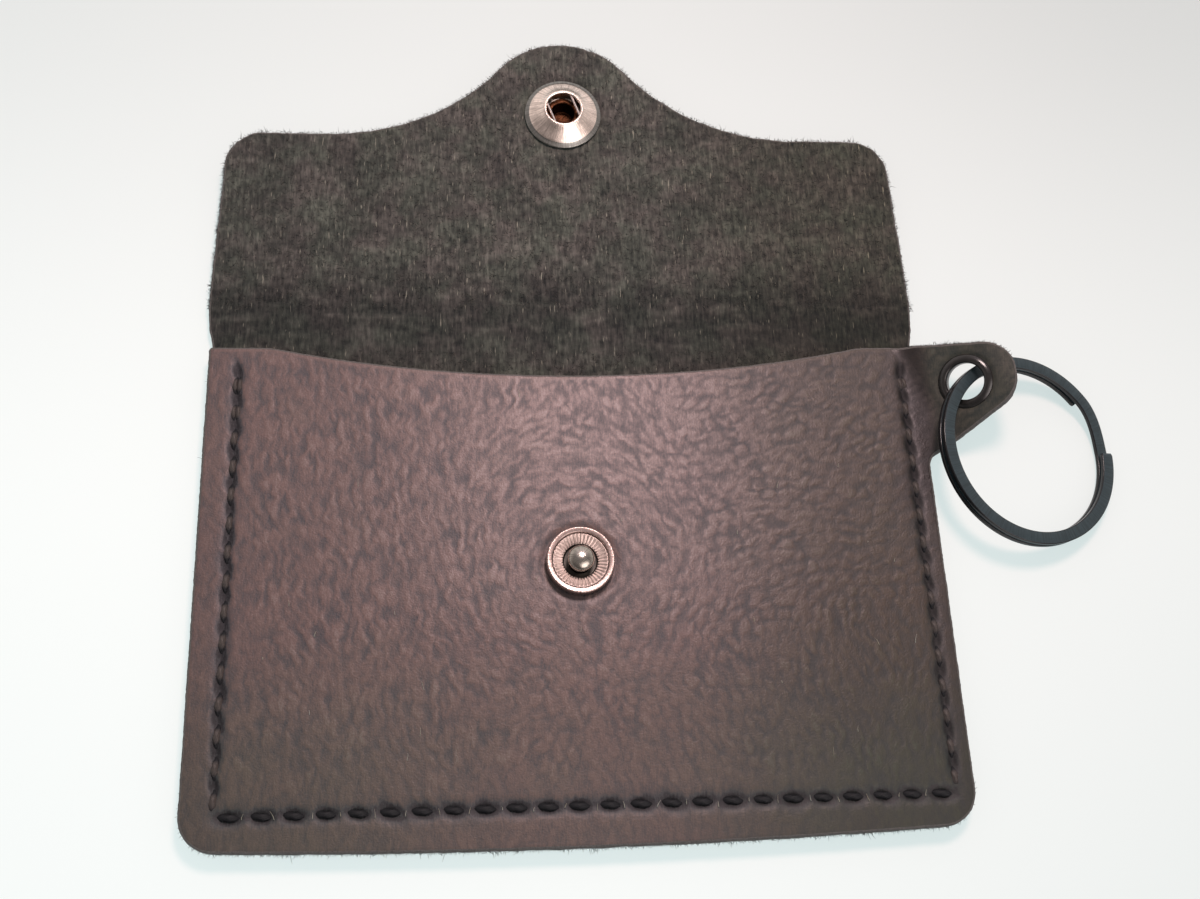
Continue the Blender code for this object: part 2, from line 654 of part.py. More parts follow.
def build_spring(hinge):
    """U of wire whose two legs cross the socket's bore; its bend lies in the socket's slot."""
    turn_radius = SOCKET_LIP_RADIUS - 0.05 * MM - SPRING_WIRE / 2 - 0.1 * MM
    corner = degrees(atan2((turn_radius ** 2 - SPRING_HALF_SPAN ** 2) ** 0.5, SPRING_HALF_SPAN))
    bend = arc((0, 0), turn_radius, corner, 180 - corner, 10)
    leg_end = -bend[0][1]
    route = [(SPRING_HALF_SPAN, leg_end)] + bend + [(-SPRING_HALF_SPAN, leg_end)]
    mesh = thread_run("socket_spring", [(x, y, 0, 1.0) for x, y in route], SPRING_WIRE, 6)
    spring = add_object("socket_spring", mesh, parent=hinge)
    spring.rotation_euler.z = radians(SPRING_TURN)
    return spring


def ring_level(angle):
    """Height of the wire's middle at an angle in degrees along the coil."""
    step = (RING_WIRE_THICKNESS + RING_TURN_GAP) / 2
    first = 360 + RING_UPPER_END
    return step * (2 * smoothstep((angle - first) / (RING_LOWER_END - RING_UPPER_END)) - 1)


def ring_angles():
    """Angles along the coil, from the lower end to the upper end, in degrees."""
    start = RING_LOWER_END + 1
    end = 720 + RING_UPPER_END - 1
    count = ceil((end - start) / 15)
    return [start + (end - start) * i / count for i in range(count + 1)]


def ring_point(angle):
    a = radians(angle)
    return Vector((RING_RADIUS * cos(a), RING_RADIUS * sin(a), ring_level(angle)))


def least_turn_gap():
    """Least gap between the ring's turns, measured on points half a degree apart."""
    start = RING_LOWER_END + 1
    end = 720 + RING_UPPER_END - 1
    count = int((end - start) * 2)
    points = [ring_point(start + (end - start) * i / count) for i in range(count + 1)]
    apart = 90 * 2
    lower, upper = points[:-apart], points[apart:]
    least = min((a - b).length for i, a in enumerate(lower) for b in upper[i:])
    return least - RING_WIRE_THICKNESS


def ring_tilt():
    """Tilt of the ring that rests on the table and passes through the eyelet's middle."""
    off_downhill = radians(RING_UPHILL + 180 - RING_HEADING)
    arm = RING_RADIUS - RING_SEATING
    reach = RING_RADIUS + RING_WIRE_WIDTH / 2 + arm * cos(off_downhill)
    height = front_surface(*eyelet_on_sheet()).z - TABLE_CLEARANCE
    return asin(height / hypot(reach, RING_HALF_HEIGHT)) - atan2(RING_HALF_HEIGHT, reach)


def ring_frame():
    """Rotation of the ring's plane and the direction from the eyelet to the ring's centre."""
    uphill = Vector((cos(radians(RING_UPHILL)), sin(radians(RING_UPHILL)), 0))
    turn = Matrix.Rotation(ring_tilt(), 3, uphill.cross(Vector((0, 0, 1))))
    heading = turn @ Vector((cos(radians(RING_HEADING)), sin(radians(RING_HEADING)), 0))
    return turn, heading


def build_key_ring(black):
    half_width = RING_WIRE_WIDTH / 2
    half_height = RING_WIRE_THICKNESS / 2
    corners = [(-half_width, -half_height), (half_width, -half_height),
               (half_width, half_height), (-half_width, half_height)]
    section = bpy.data.curves.new("ring_section", "CURVE")
    section.dimensions = "2D"
    outline = rounded([(x, y, RING_CHAMFER) for x, y in corners], steps=1)
    spline = section.splines.new("POLY")
    spline.points.add(len(outline) - 1)
    for point, (x, y) in zip(spline.points, outline):
        point.co = (x, y, 0, 1)
    spline.use_cyclic_u = True
    guide = as_cutter(add_object("ring_section", section, cutters))
    wire = bpy.data.curves.new("key_ring", "CURVE")
    wire.dimensions = "3D"
    wire.twist_mode = "Z_UP"
    wire.bevel_mode = "OBJECT"
    wire.bevel_object = guide
    wire.use_fill_caps = True
    angles = ring_angles()
    spline = wire.splines.new("POLY")
    spline.points.add(len(angles) - 1)
    for point, angle in zip(spline.points, angles):
        point.co = (*ring_point(angle), 1)
    ring = add_object("key_ring", curve_mesh("key_ring", wire))
    turn, heading = ring_frame()
    ring.location = front_surface(*eyelet_on_sheet()) + heading * (RING_RADIUS - RING_SEATING)
    ring.rotation_mode = "QUATERNION"
    ring.rotation_quaternion = turn.to_quaternion()
    ring.data.materials.append(black)
    return ring


def build():
    clear_scene()
    leather = material("brown_leather", (0.115, 0.085, 0.075), 0.55, 0.0)
    suede = material("flap_leather", (0.080, 0.068, 0.060), 0.90, 0.0)
    back_leather = material("back_leather", (0.100, 0.078, 0.068), 0.60, 0.0)
    thread_black = material("black_waxed_thread", (0.012, 0.011, 0.011), 0.45, 0.0)
    nickel = material("polished_nickel", (0.62, 0.58, 0.56), 0.15, 1.0)
    spring_steel = material("spring_steel", (0.50, 0.48, 0.47), 0.25, 1.0)
    gloss_black = material("black_enamel", (0.010, 0.010, 0.011), 0.12, 0.6)
    ring_black = material("black_plated_steel", (0.055, 0.066, 0.078), 0.30, 1.0)
    holes = hole_posts("stitch_holes", HOLE_RADIUS, -LEATHER, FRONT_TOP + LEATHER)
    build_back_panel(back_leather, holes)
    build_front_panel(leather, holes)
    build_seam_thread(thread_black)
    build_stud(nickel)
    build_eyelet(gloss_black)
    hinge = add_object("flap_hinge", None)
    hinge.location = (0, FOLD_Y, HINGE_HEIGHT)
    hinge.rotation_euler.x = resting_tilt()
    build_flap(suede, nickel, spring_steel, hinge)
    ring = build_key_ring(ring_black)
    _, heading = ring_frame()
    print("flap hinge", tuple(round(v, 6) for v in hinge.location),
          "closes by", round(180 - degrees(closed_slant() + resting_tilt()), 3), "degrees")
    print("ring centre", tuple(round(v, 6) for v in ring.location),
          "axis", tuple(round(-v, 6) for v in heading))
    print("least gap between the ring's turns", round(least_turn_gap() / MM, 3), "mm")


build()
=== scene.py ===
"""Looks of the keychain card wallet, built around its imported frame.

Lengths are millimetres in the frame of the part and become metres when a mesh is made. The origin
is on the underside of the back panel, right under the stud. +Y runs from the pocket to the flap.
"""
import math

import bpy
import numpy as np
from mathutils import Matrix, Vector
from mathutils.geometry import delaunay_2d_cdt


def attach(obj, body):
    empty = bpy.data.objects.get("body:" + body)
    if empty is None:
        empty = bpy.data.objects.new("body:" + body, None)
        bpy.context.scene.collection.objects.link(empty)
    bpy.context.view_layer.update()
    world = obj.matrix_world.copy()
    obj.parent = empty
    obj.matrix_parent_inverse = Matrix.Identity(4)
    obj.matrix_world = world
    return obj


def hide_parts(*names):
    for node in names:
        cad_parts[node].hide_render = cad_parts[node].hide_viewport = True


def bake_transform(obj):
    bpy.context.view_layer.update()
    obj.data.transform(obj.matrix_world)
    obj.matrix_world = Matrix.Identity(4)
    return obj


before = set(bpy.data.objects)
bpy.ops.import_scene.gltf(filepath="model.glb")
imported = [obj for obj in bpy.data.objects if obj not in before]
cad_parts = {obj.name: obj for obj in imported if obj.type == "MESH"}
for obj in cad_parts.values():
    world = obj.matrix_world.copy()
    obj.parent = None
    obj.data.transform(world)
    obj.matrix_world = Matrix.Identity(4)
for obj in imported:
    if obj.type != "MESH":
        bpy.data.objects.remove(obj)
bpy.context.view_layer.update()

MM = 0.001
UV_SCALE = 0.01

# Sizes of the part that the pieces follow
LEATHER = 1.7
HALF_WIDTH = 54.0
FOLD_Y = 37.8
BOTTOM_Y = FOLD_Y - 75.9
POCKET_Y = FOLD_Y - 3.6
BODY_CORNER = 5.0
BOTTOM_BOW = 1.0
FRONT_MIDDLE = 2.75
SEAM = [(-49.5, 30.2), (-49.5, -33.6), (51.2, -33.6), (51.2, 30.2)]
SEAM_MIDDLE = (SEAM[0][0] + SEAM[2][0]) / 2
SEAM_HALF = (SEAM[2][0] - SEAM[0][0]) / 2
STITCH_PITCH = 4.2
SCOOP_REACH = HALF_WIDTH - 9.0
SCOOP_DEPTH = 5.0
POCKET_CROWN = 0.9
CROWN_RISE = 30.0
TAB_REACH = 14.8
TAB_ANGLE = math.radians(38.0)
TAB_TIP_ANGLE = math.radians(-5.0)
TAB_HEADING = math.radians(25.0)
TAB_BEND = 3.5
TAB_TIP_BEND = 4.5
TAB_TIP_START = 11.8
EYELET_FLAT = (61.3, 27.5)
EYELET_TO_BEND = 7.5
HINGE_Z = 3.9
FLAP_TILT = math.radians(3.2974)
SNAP_FROM_FOLD = 37.88
STUD_BASE = 4.5
RING_RADIUS = 14.1
RING_CENTRE = (69.129, 16.541, 4.359)
RING_TILT = math.radians(13.263)
RING_UPHILL = math.radians(175.0)
FOLD_REACH = 3.0


# Numbers

def smoothstep(value):
    """Smooth rise from 0 at 0 to 1 at 1."""
    t = np.clip(value, 0.0, 1.0)
    return t * t * (3.0 - 2.0 * t)


def above(value, start, width):
    """0 up to the start, then a smooth rise to 1 over the width."""
    return smoothstep((value - start) / width)


def below(value, end, width):
    """0 from the end on, with a smooth rise to 1 over the width before it."""
    return smoothstep((end - value) / width)


def hump(value, middle, width):
    """1 at the middle, fading to both sides."""
    return np.exp(-((value - middle) / width) ** 2)


def unit(vectors):
    """The vectors with length 1."""
    return vectors / np.maximum(np.linalg.norm(vectors, axis=-1), 1e-9)[..., None]


def chance(ix, iy, seed):
    """Repeatable numbers from 0 to 1 at whole-number lattice points, by mixing their bits."""
    n = ix.astype(np.int64) * 374761393 + iy.astype(np.int64) * 668265263 + seed * 974634777
    n = (n ^ (n >> 13)) & 0x7FFFFFFF
    n = (n * 1274126177) & 0x7FFFFFFF
    n = (n ^ (n >> 16)) & 0x7FFFFFFF
    n = (n * 668265263) & 0x7FFFFFFF
    return ((n >> 8) & 0xFFFF) / 65535.0


def noise(x, y, seed):
    """Smooth gradient noise, mostly from -1 to 1."""
    ix, iy = np.floor(x), np.floor(y)
    dx, dy = x - ix, y - iy
    fx, fy = smoothstep(dx), smoothstep(dy)

    def corner(i, j):
        a = 2 * np.pi * chance(ix + i, iy + j, seed)
        return np.cos(a) * (dx - i) + np.sin(a) * (dy - j)

    low = corner(0, 0) * (1 - fx) + corner(1, 0) * fx
    high = corner(0, 1) * (1 - fx) + corner(1, 1) * fx
    return (low * (1 - fy) + high * fy) * 1.7


def fractal(x, y, size, octaves, seed):
    """Noise with spots of about one size and finer ones on top, each octave half the last."""
    total, weight, finer = 0.0, 0.0, 1.0
    for i in range(octaves):
        total = total + noise(x / size * finer + 17.3 * i, y / size * finer - 9.1 * i, seed + i) / finer
        weight += 1 / finer
        finer *= 2
    return total / weight


def cells(x, y, flow_of, across, along, seed):
    """Cells drawn out along a flow: each point's distance from the middle of its cell, and how
    much nearer that is than the next cell's middle, which is 0 on the line between them."""
    size = math.sqrt(across * along)
    u, v = x / size, y / size
    ix, iy = np.floor(u).astype(int), np.floor(v).astype(int)
    x0, y0 = ix.min() - 2, iy.min() - 2
    gx, gy = np.meshgrid(np.arange(x0, ix.max() + 3), np.arange(y0, iy.max() + 3))
    sx, sy = gx + 0.1 + 0.8 * chance(gx, gy, seed), gy + 0.1 + 0.8 * chance(gx, gy, seed + 5)
    angle, strength = flow_of(sx * size, sy * size)
    stretch = (along / across) ** (0.5 * strength)
    nearest, second = np.full(np.shape(x), 9.0), np.full(np.shape(x), 9.0)
    for i in range(-2, 3):
        for j in range(-2, 3):
            k = (iy + j - y0, ix + i - x0)
            dx, dy, c, s = u - sx[k], v - sy[k], np.cos(angle)[k], np.sin(angle)[k]
            apart = np.hypot((dx * c + dy * s) / stretch[k], (dy * c - dx * s) * stretch[k])
            second = np.minimum(second, np.maximum(nearest, apart))
            nearest = np.minimum(nearest, apart)
    return nearest, second - nearest


# Outlines

def arc(centre, radius, start, end, steps):
    """Points along an arc between two angles in degrees."""
    a = np.radians(np.linspace(start, end, steps + 1))
    return [(centre[0] + radius * math.cos(v), centre[1] + radius * math.sin(v)) for v in a]


def rounded(corners, steps=8):
    """Closed outline through (x, y, radius) corners, each rounded by its own radius."""
    outline = []
    count = len(corners)
    for i, (x, y, radius) in enumerate(corners):
        here = Vector((x, y))
        if radius == 0:
            outline.append((x, y))
            continue
        before = (Vector(corners[i - 1][:2]) - here).normalized()
        after = (Vector(corners[(i + 1) % count][:2]) - here).normalized()
        half = before.angle(after) / 2
        centre = here + (before + after).normalized() * (radius / math.sin(half))
        first = here + before * (radius / math.tan(half)) - centre
        last = here + after * (radius / math.tan(half)) - centre
        turn = first.angle_signed(last)
        for k in range(steps + 1):
            outline.append(tuple(centre + Matrix.Rotation(-turn * k / steps, 2) @ first))
    return outline


def bottom_edge():
    """Lower edge of both sheets, from the left side to the right: two corners and a slight bow."""
    inner = HALF_WIDTH - BODY_CORNER
    bow = [(x, BOTTOM_Y - BOTTOM_BOW * (1 - (x / inner) ** 2)) for x in np.linspace(-inner, inner, 21)[1:-1]]
    left = arc((-inner, BOTTOM_Y + BODY_CORNER), BODY_CORNER, 180, 270, 10)
    right = arc((inner, BOTTOM_Y + BODY_CORNER), BODY_CORNER, 270, 360, 10)
    return left + bow + right


def scoop_y(x):
    """Height of the scooped upper edge of the pocket, on the pattern."""
    return POCKET_Y - SCOOP_DEPTH * np.clip(1 - (x / SCOOP_REACH) ** 2, 0, 1)


def front_outline():
    """Flat pattern of the front panel and its key tab."""
    scoop = [(SCOOP_REACH, POCKET_Y, 14.0)]
    scoop += [(x, scoop_y(x), 0) for x in np.linspace(SCOOP_REACH, -SCOOP_REACH, 31)[1:-1]]
    scoop.append((-SCOOP_REACH, POCKET_Y, 14.0))
    end = HALF_WIDTH + TAB_REACH
    tab = [(HALF_WIDTH, POCKET_Y - 18.5, 2.5), (end, POCKET_Y - 9.6, 4.5),
           (end, POCKET_Y - 1.5, 5.2), (HALF_WIDTH, POCKET_Y, 0)]
    lower = [(x, y, 0) for x, y in bottom_edge()]
    return rounded(lower + tab + scoop + [(-HALF_WIDTH, POCKET_Y, 0.6)])


def flap_side():
    """Right half of the flap, from the fold to the middle of the tongue, Y from the fold."""
    tongue, sweep, tongue_y, shoulder_y = 13.5, 36.0, 37.8, 34.0
    sweep_y = shoulder_y + sweep
    sweep_x = ((tongue + sweep) ** 2 - (sweep_y - tongue_y) ** 2) ** 0.5
    tangent = math.degrees(math.atan2(sweep_y - tongue_y, sweep_x))
    corner = rounded([(54.7, 0.15, 0), (54.9, 4.0, 0), (53.4, shoulder_y, 6.0), (sweep_x, shoulder_y, 0)])
    points = corner[:-1] + arc((sweep_x, sweep_y), sweep, 270, 180 + tangent, 18)
    return points + arc((0, tongue_y), tongue, tangent, 90, 16)[1:]


def body_outline():
    """Flat pattern of the one sheet that makes the back panel and the flap."""
    right = [(HALF_WIDTH, FOLD_Y - 2.5)] + [(x, FOLD_Y + u) for x, u in flap_side()]
    left = [(-x, y) for x, y in reversed(right[:-1])]
    return bottom_edge() + right + left


def circle(centre, radius, steps):
    """Round hole, run clockwise."""
    a = -np.linspace(0, 2 * np.pi, steps, endpoint=False)
    return np.stack([centre[0] + radius * np.cos(a), centre[1] + radius * np.sin(a)], 1)


def resample(outline, step):
    """The closed outline again, with points at even steps."""
    points = np.array(outline, float)
    keep = np.hypot(*(points - np.roll(points, 1, 0)).T) > 1e-6
    points = points[keep]
    closed = np.vstack([points, points[:1]])
    along = np.concatenate([[0], np.cumsum(np.hypot(*np.diff(closed, axis=0).T))])
    count = int(along[-1] / step)
    s = np.linspace(0, along[-1], count, endpoint=False)
    return np.stack([np.interp(s, along, closed[:, 0]), np.interp(s, along, closed[:, 1])], 1)


def outward(loop):
    """Unit normals that point away from the leather, for a loop with leather on its left."""
    t = np.roll(loop, -1, 0) - np.roll(loop, 1, 0)
    n = np.stack([t[:, 1], -t[:, 0]], 1)
    return n / np.maximum(np.hypot(n[:, 0], n[:, 1]), 1e-9)[:, None]


def in_blocks(points, answer, size=4000):
    """Answers for many points, a block at a time to save memory."""
    return np.concatenate([answer(points[start:start + size]) for start in range(0, len(points), size)])


def inside(points, loop):
    """Even-odd test of many points against one closed loop."""
    a, b = loop, np.roll(loop, -1, 0)

    def answer(block):
        x, y = block[:, :1], block[:, 1:]
        crosses = (a[:, 1] > y) != (b[:, 1] > y)
        with np.errstate(divide="ignore", invalid="ignore"):
            at = a[:, 0] + (y - a[:, 1]) * (b[:, 0] - a[:, 0]) / (b[:, 1] - a[:, 1])
        return (crosses & (x < at)).sum(1) % 2 == 1

    return in_blocks(points, answer)


def clearance(points, loop):
    """Distance of many points from the points of a loop."""
    return in_blocks(points, lambda block: np.sqrt(((block[:, None] - loop) ** 2).sum(2).min(1)))


def grid(box, step, seed):
    """Staggered points that fill a box, each a little off its place."""
    x0, y0, x1, y1 = box
    ys = np.arange(y0, y1, step * 0.866)
    xs = np.arange(x0, x1, step)
    x, y = np.meshgrid(xs, ys)
    x = x + (np.arange(len(ys)) % 2)[:, None] * step / 2
    rng = np.random.default_rng(seed)
    points = np.stack([x.ravel(), y.ravel()], 1)
    return points + rng.uniform(-0.12, 0.12, points.shape) * step


# Meshes

def make_mesh(name, verts, tris, uv=None, values=None, parts=None, materials=()):
    """Object from arrays of points in millimetres and triangles."""
    mesh = bpy.data.meshes.new(name)
    tris = np.asarray(tris, np.int32)
    mesh.vertices.add(len(verts))
    mesh.vertices.foreach_set("co", (np.asarray(verts, float) * MM).ravel())
    mesh.loops.add(tris.size)
    mesh.loops.foreach_set("vertex_index", tris.ravel())
    mesh.polygons.add(len(tris))
    mesh.polygons.foreach_set("loop_start", np.arange(0, tris.size, 3, dtype=np.int32))
    for material in materials:
        mesh.materials.append(material)
    if parts is not None:
        mesh.polygons.foreach_set("material_index", np.asarray(parts, np.int32))
    mesh.polygons.foreach_set("use_smooth", np.ones(len(tris), bool))
    if uv is not None:
        layer = mesh.uv_layers.new(name="pattern")
        layer.uv.foreach_set("vector", (np.asarray(uv, float) * UV_SCALE)[tris.ravel()].ravel())
    for key, value in (values or {}).items():
        layer = mesh.attributes.new(key, "FLOAT", "POINT")
        layer.data.foreach_set("value", np.asarray(value, float))
    mesh.update(calc_edges=True)
    mesh.validate()
    made = bpy.data.objects.new(name, mesh)
    bpy.context.scene.collection.objects.link(made)
    return made


def ring_faces(a, b):
    """Triangles between two closed runs of as many points."""
    a2, b2 = np.roll(a, -1), np.roll(b, -1)
    return np.concatenate([np.stack([a, b, b2], 1), np.stack([a, b2, a2], 1)])


def end_caps(ids):
    """Fans that close the first and the last of some rings, onto the two points that follow them."""
    caps = []
    for ring, point, order in ((ids[0], ids.size, (0, 1, 2)), (ids[-1], ids.size + 1, (0, 2, 1))):
        caps.append(np.stack([np.full(len(ring), point), ring, np.roll(ring, -1)], 1)[:, order])
    return caps


# Rounding of a cut edge: how far in, how far from the face, how far along the pattern
EDGE = [(0.34, 0.0, 0.0), (0.15, 0.05, 0.2), (0.03, 0.2, 0.45), (0.0, 0.5, 0.9)]


def leather_sheet(name, outline, holes, faces, place, height, marks, materials, step, ragged=0.05):
    """A solid sheet of leather: two meshed faces and a rounded cut edge.

    faces holds the points that fill the upper and the lower face of the flat pattern.
    place(x, y, h) sets a pattern point in space, height(x, y, side) gives each face's relief and
    marks(x, y, side) its attributes by name, for side +1 above and -1 below. The materials are those
    of the upper face, the edge and the lower face. ragged is how uneven the cut is.
    """
    loops = [resample(outline, step)] + [circle(c, r, max(16, int(math.tau * r / step))) for c, r in holes]
    rng = np.random.default_rng(len(loops[0]))
    normals = [outward(loop) for loop in loops]
    rough = ragged * fractal(np.arange(len(loops[0])) * 0.22, np.full(len(loops[0]), 0.5), 1, 3, 3)
    loops[0] = loops[0] + normals[0] * (rough - ragged)[:, None]
    inset = [loop - n * EDGE[0][0] for loop, n in zip(loops, normals)]
    points, uvs, values, tris, kinds = [], [], [], [], []
    total, rims = 0, []

    def gather(spots, uv, marked):
        nonlocal total
        points.append(spots)
        uvs.append(uv)
        values.append({key: np.broadcast_to(value, len(spots)) for key, value in marked.items()})
        total += len(spots)
        return np.arange(total - len(spots), total)

    for side, fill in ((1, faces[0]), (-1, faces[1])):
        for k, loop in enumerate(loops):
            hit = inside(fill, loop)
            fill = fill[hit if k == 0 else ~hit]
            fill = fill[clearance(fill, inset[k]) > step * 0.55]
            fill = fill[inside(fill, inset[0])] if k == 0 else fill
        flat = np.vstack(inset + [fill])
        x, y = flat.T
        ids = gather(place(x, y, side * (LEATHER / 2) + side * height(x, y, side)),
                     flat + (0 if side > 0 else 300), marks(x, y, side))
        rims.append(np.split(ids, np.cumsum([len(loop) for loop in inset])))
        edges = []
        for rim in rims[-1][:-1]:
            edges += zip((rim - ids[0]).tolist(), (np.roll(rim, -1) - ids[0]).tolist())
        found = delaunay_2d_cdt([Vector(p) for p in flat], edges, [], 1, 1e-7)
        origin = np.array([sources[0] for sources in found[3]])
        tri = origin[np.array(found[2])]
        for loop in inset[1:]:
            tri = tri[~inside(flat[tri].mean(1), loop)]
        tris.append(ids[tri[:, ::side]])
        kinds.append(np.full(len(tri), 1 - side))
    for loop, n, upper, lower in zip(loops, normals, *rims):
        x, y = loop.T
        top = LEATHER / 2 + height(x, y, 1)
        low = -LEATHER / 2 - height(x, y, -1)
        marked = marks(x, y, 1)
        run = [upper]
        bands = [(a, top - d, u) for a, d, u in EDGE[1:]]
        bands += [(a, low + d, 2.2 - u) for a, d, u in reversed(EDGE[1:])]
        for inset_by, level, along in bands:
            spot = loop - n * (inset_by + 0.03 * rng.uniform(-1, 1, len(loop)))[:, None]
            run.append(gather(place(*spot.T, level), loop + n * along, marked))
        for a, b in zip(run, run[1:] + [lower]):
            tris.append(ring_faces(a, b))
            kinds.append(np.full(len(tris[-1]), 1))
    joined = {key: np.concatenate([v[key] for v in values]) for key in values[0]}
    return make_mesh(name, np.vstack(points), np.vstack(tris), np.vstack(uvs), joined,
                     np.concatenate(kinds), materials)


def frames(path):
    """Side and upper directions along a path of points, with the sides level."""
    way = unit(np.gradient(path, axis=0))
    side = unit(np.cross(way, (0, 0, 1.0)))
    return side, np.cross(side, way)


def tube(path, radius, sides, lobes=0, twist=0.0, depth=0.0):
    """Closed tube along a path; lobes twist round it as plies of thread do."""
    side, up = frames(path)
    count = len(path)
    a = np.linspace(0, 2 * np.pi, sides, endpoint=False)
    s = np.concatenate([[0], np.cumsum(np.linalg.norm(np.diff(path, axis=0), axis=1))])
    r = np.broadcast_to(radius, count)[:, None] * (1 + depth * np.cos(lobes * (a - twist * s[:, None])))
    body = path[:, None] + (r * np.cos(a))[:, :, None] * side[:, None] \
        + (r * np.sin(a))[:, :, None] * up[:, None]
    verts = np.vstack([body.reshape(-1, 3), path[:1], path[-1:]])
    ids = np.arange(count * sides).reshape(count, sides)
    tris = [ring_faces(ids[i + 1], ids[i]) for i in range(count - 1)]
    uv = np.stack([np.repeat(s, sides), np.tile(a, count)], 1)
    return verts, np.vstack(tris + end_caps(ids)), np.vstack([uv, [[0, 0], [s[-1], 0]]])


def join(pieces):
    """One set of arrays out of several (points, triangles, uv) sets."""
    total, points, tris, uvs = 0, [], [], []
    for verts, tri, uv in pieces:
        points.append(verts)
        tris.append(tri + total)
        uvs.append(uv)
        total += len(verts)
    return np.vstack(points), np.vstack(tris), np.vstack(uvs)


def soften(profile, radius, steps=3, closed=False):
    """Profile of (radius, height) points with each corner rounded as far as its sides allow."""
    pts = [Vector(p) for p in profile]
    count = len(pts)
    result = []
    for i, here in enumerate(pts):
        if not closed and i in (0, count - 1):
            result.append(tuple(here))
            continue
        before, after = pts[i - 1] - here, pts[(i + 1) % count] - here
        reach = min(radius, before.length * 0.45, after.length * 0.45)
        a, b = here + before.normalized() * reach, here + after.normalized() * reach
        for k in range(steps + 1):
            t = k / steps
            result.append(tuple(a * (1 - t) ** 2 + here * 2 * t * (1 - t) + b * t ** 2))
    return result


def lathe(profile, radius, segments, closed=True, shape=None):
    """Turned solid from (distance, height) points that run down its outer side, their corners rounded.
    An open profile starts and ends on the axis."""
    p = np.array(soften(profile, radius, closed=closed), float)
    along = np.concatenate([[0], np.cumsum(np.hypot(*np.diff(p, axis=0).T))])
    poles = np.array([[0, 0, p[0, 1]], [0, 0, p[-1, 1]]])
    if not closed:
        p, along = p[1:-1], along[1:-1]
    a = np.linspace(0, 2 * np.pi, segments, endpoint=False)
    r, z = np.repeat(p[:, :1], segments, 1), np.repeat(p[:, 1:], segments, 1)
    if shape is not None:
        r, z = shape(r, z, a)
    verts = np.stack([r * np.cos(a), r * np.sin(a), z], 2).reshape(-1, 3)
    uv = np.stack([np.tile(a * 3, len(p)), np.repeat(along, segments)], 1)
    ids = np.arange(len(verts)).reshape(len(p), segments)
    tris = [ring_faces(upper, lower) for upper, lower in zip(ids, ids[1:])]
    if closed:
        return verts, np.vstack(tris + [ring_faces(ids[-1], ids[0])]), uv
    return np.vstack([verts, poles]), np.vstack(tris + end_caps(ids)), np.vstack([uv, [[0, 0], [0, 0]]])


def strands(roots, ways, lengths, width, curl, seed):
    """Many thin tapered hairs, each of three sides."""
    rng = np.random.default_rng(seed)
    count, steps, sides = len(roots), 4, 3
    ways = unit(ways)
    bend = rng.normal(size=(count, 3))
    bend = unit(bend - (bend * ways).sum(1)[:, None] * ways)
    across = np.cross(ways, bend)
    t = np.linspace(0, 1, steps)[None, :, None]
    length = lengths[:, None, None]
    path = roots[:, None] + ways[:, None] * t * length + bend[:, None] * t ** 2 * length * curl
    taper = np.linspace(1, 0.25, steps)[None, :, None, None]
    thirds = (0, 2.094, 4.189)
    a = np.array(thirds)[None, None, :, None]
    ring = np.cos(a) * bend[:, None, None] + np.sin(a) * across[:, None, None]
    verts = (path[:, :, None] + ring * (width / 2) * taper).reshape(-1, 3)
    ids = np.arange(len(verts)).reshape(count, steps, sides)
    tris = []
    for i in range(steps - 1):
        for k in range(sides):
            n = (k + 1) % sides
            a0, a1, b0, b1 = ids[:, i, k], ids[:, i, n], ids[:, i + 1, k], ids[:, i + 1, n]
            tris += [np.stack([a0, a1, b1], 1), np.stack([a0, b1, b0], 1)]
    tris += [ids[:, 0, ::-1], ids[:, -1]]
    return verts, np.vstack(tris), np.repeat(rng.uniform(0, 100, (count, 2)), steps * sides, 0)


# The leather in space

TAB_WAY = np.array([math.cos(TAB_HEADING), math.sin(TAB_HEADING)])
TAB_START = np.array(EYELET_FLAT) - TAB_WAY * EYELET_TO_BEND


def along_tab(x, y):
    """Distance along the tab from where it starts to bend."""
    return (x - TAB_START[0]) * TAB_WAY[0] + (y - TAB_START[1]) * TAB_WAY[1]


def front_middle(x, y):
    """Middle surface of the front panel: crowned over the pocket, bent up at the tab."""
    d = along_tab(x, y)
    bend_end = TAB_BEND * TAB_ANGLE
    tip_length = TAB_TIP_BEND * (TAB_ANGLE - TAB_TIP_ANGLE)
    angle = np.clip(d / TAB_BEND, 0, TAB_ANGLE)
    straight = np.clip(d - bend_end, 0, TAB_TIP_START - bend_end)
    tip = TAB_ANGLE - np.clip(d - TAB_TIP_START, 0, tip_length) / TAB_TIP_BEND
    tail = np.clip(d - TAB_TIP_START - tip_length, 0, None)
    run = np.minimum(d, 0) + TAB_BEND * np.sin(angle) + straight * math.cos(TAB_ANGLE) \
        + TAB_TIP_BEND * (math.sin(TAB_ANGLE) - np.sin(tip)) + tail * math.cos(TAB_TIP_ANGLE)
    rise = TAB_BEND * (1 - np.cos(angle)) + straight * math.sin(TAB_ANGLE) \
        + TAB_TIP_BEND * (np.cos(tip) - math.cos(TAB_ANGLE)) + tail * math.sin(TAB_TIP_ANGLE)
    across = (x - SEAM_MIDDLE) / SEAM_HALF
    crown = POCKET_CROWN * np.clip(1 - across ** 2, 0, 1) ** 2 * above(y, SEAM[1][1], CROWN_RISE)
    return np.stack([x + TAB_WAY[0] * (run - d), y + TAB_WAY[1] * (run - d),
                     FRONT_MIDDLE + crown + rise], -1)


def about_fold(x, u, z, angle):
    """Points at a distance u past the fold and a height z, turned about the fold's hinge."""
    depth = z - HINGE_Z
    return np.stack([x, FOLD_Y + u * np.cos(angle) - depth * np.sin(angle),
                     HINGE_Z + u * np.sin(angle) + depth * np.cos(angle)], -1)


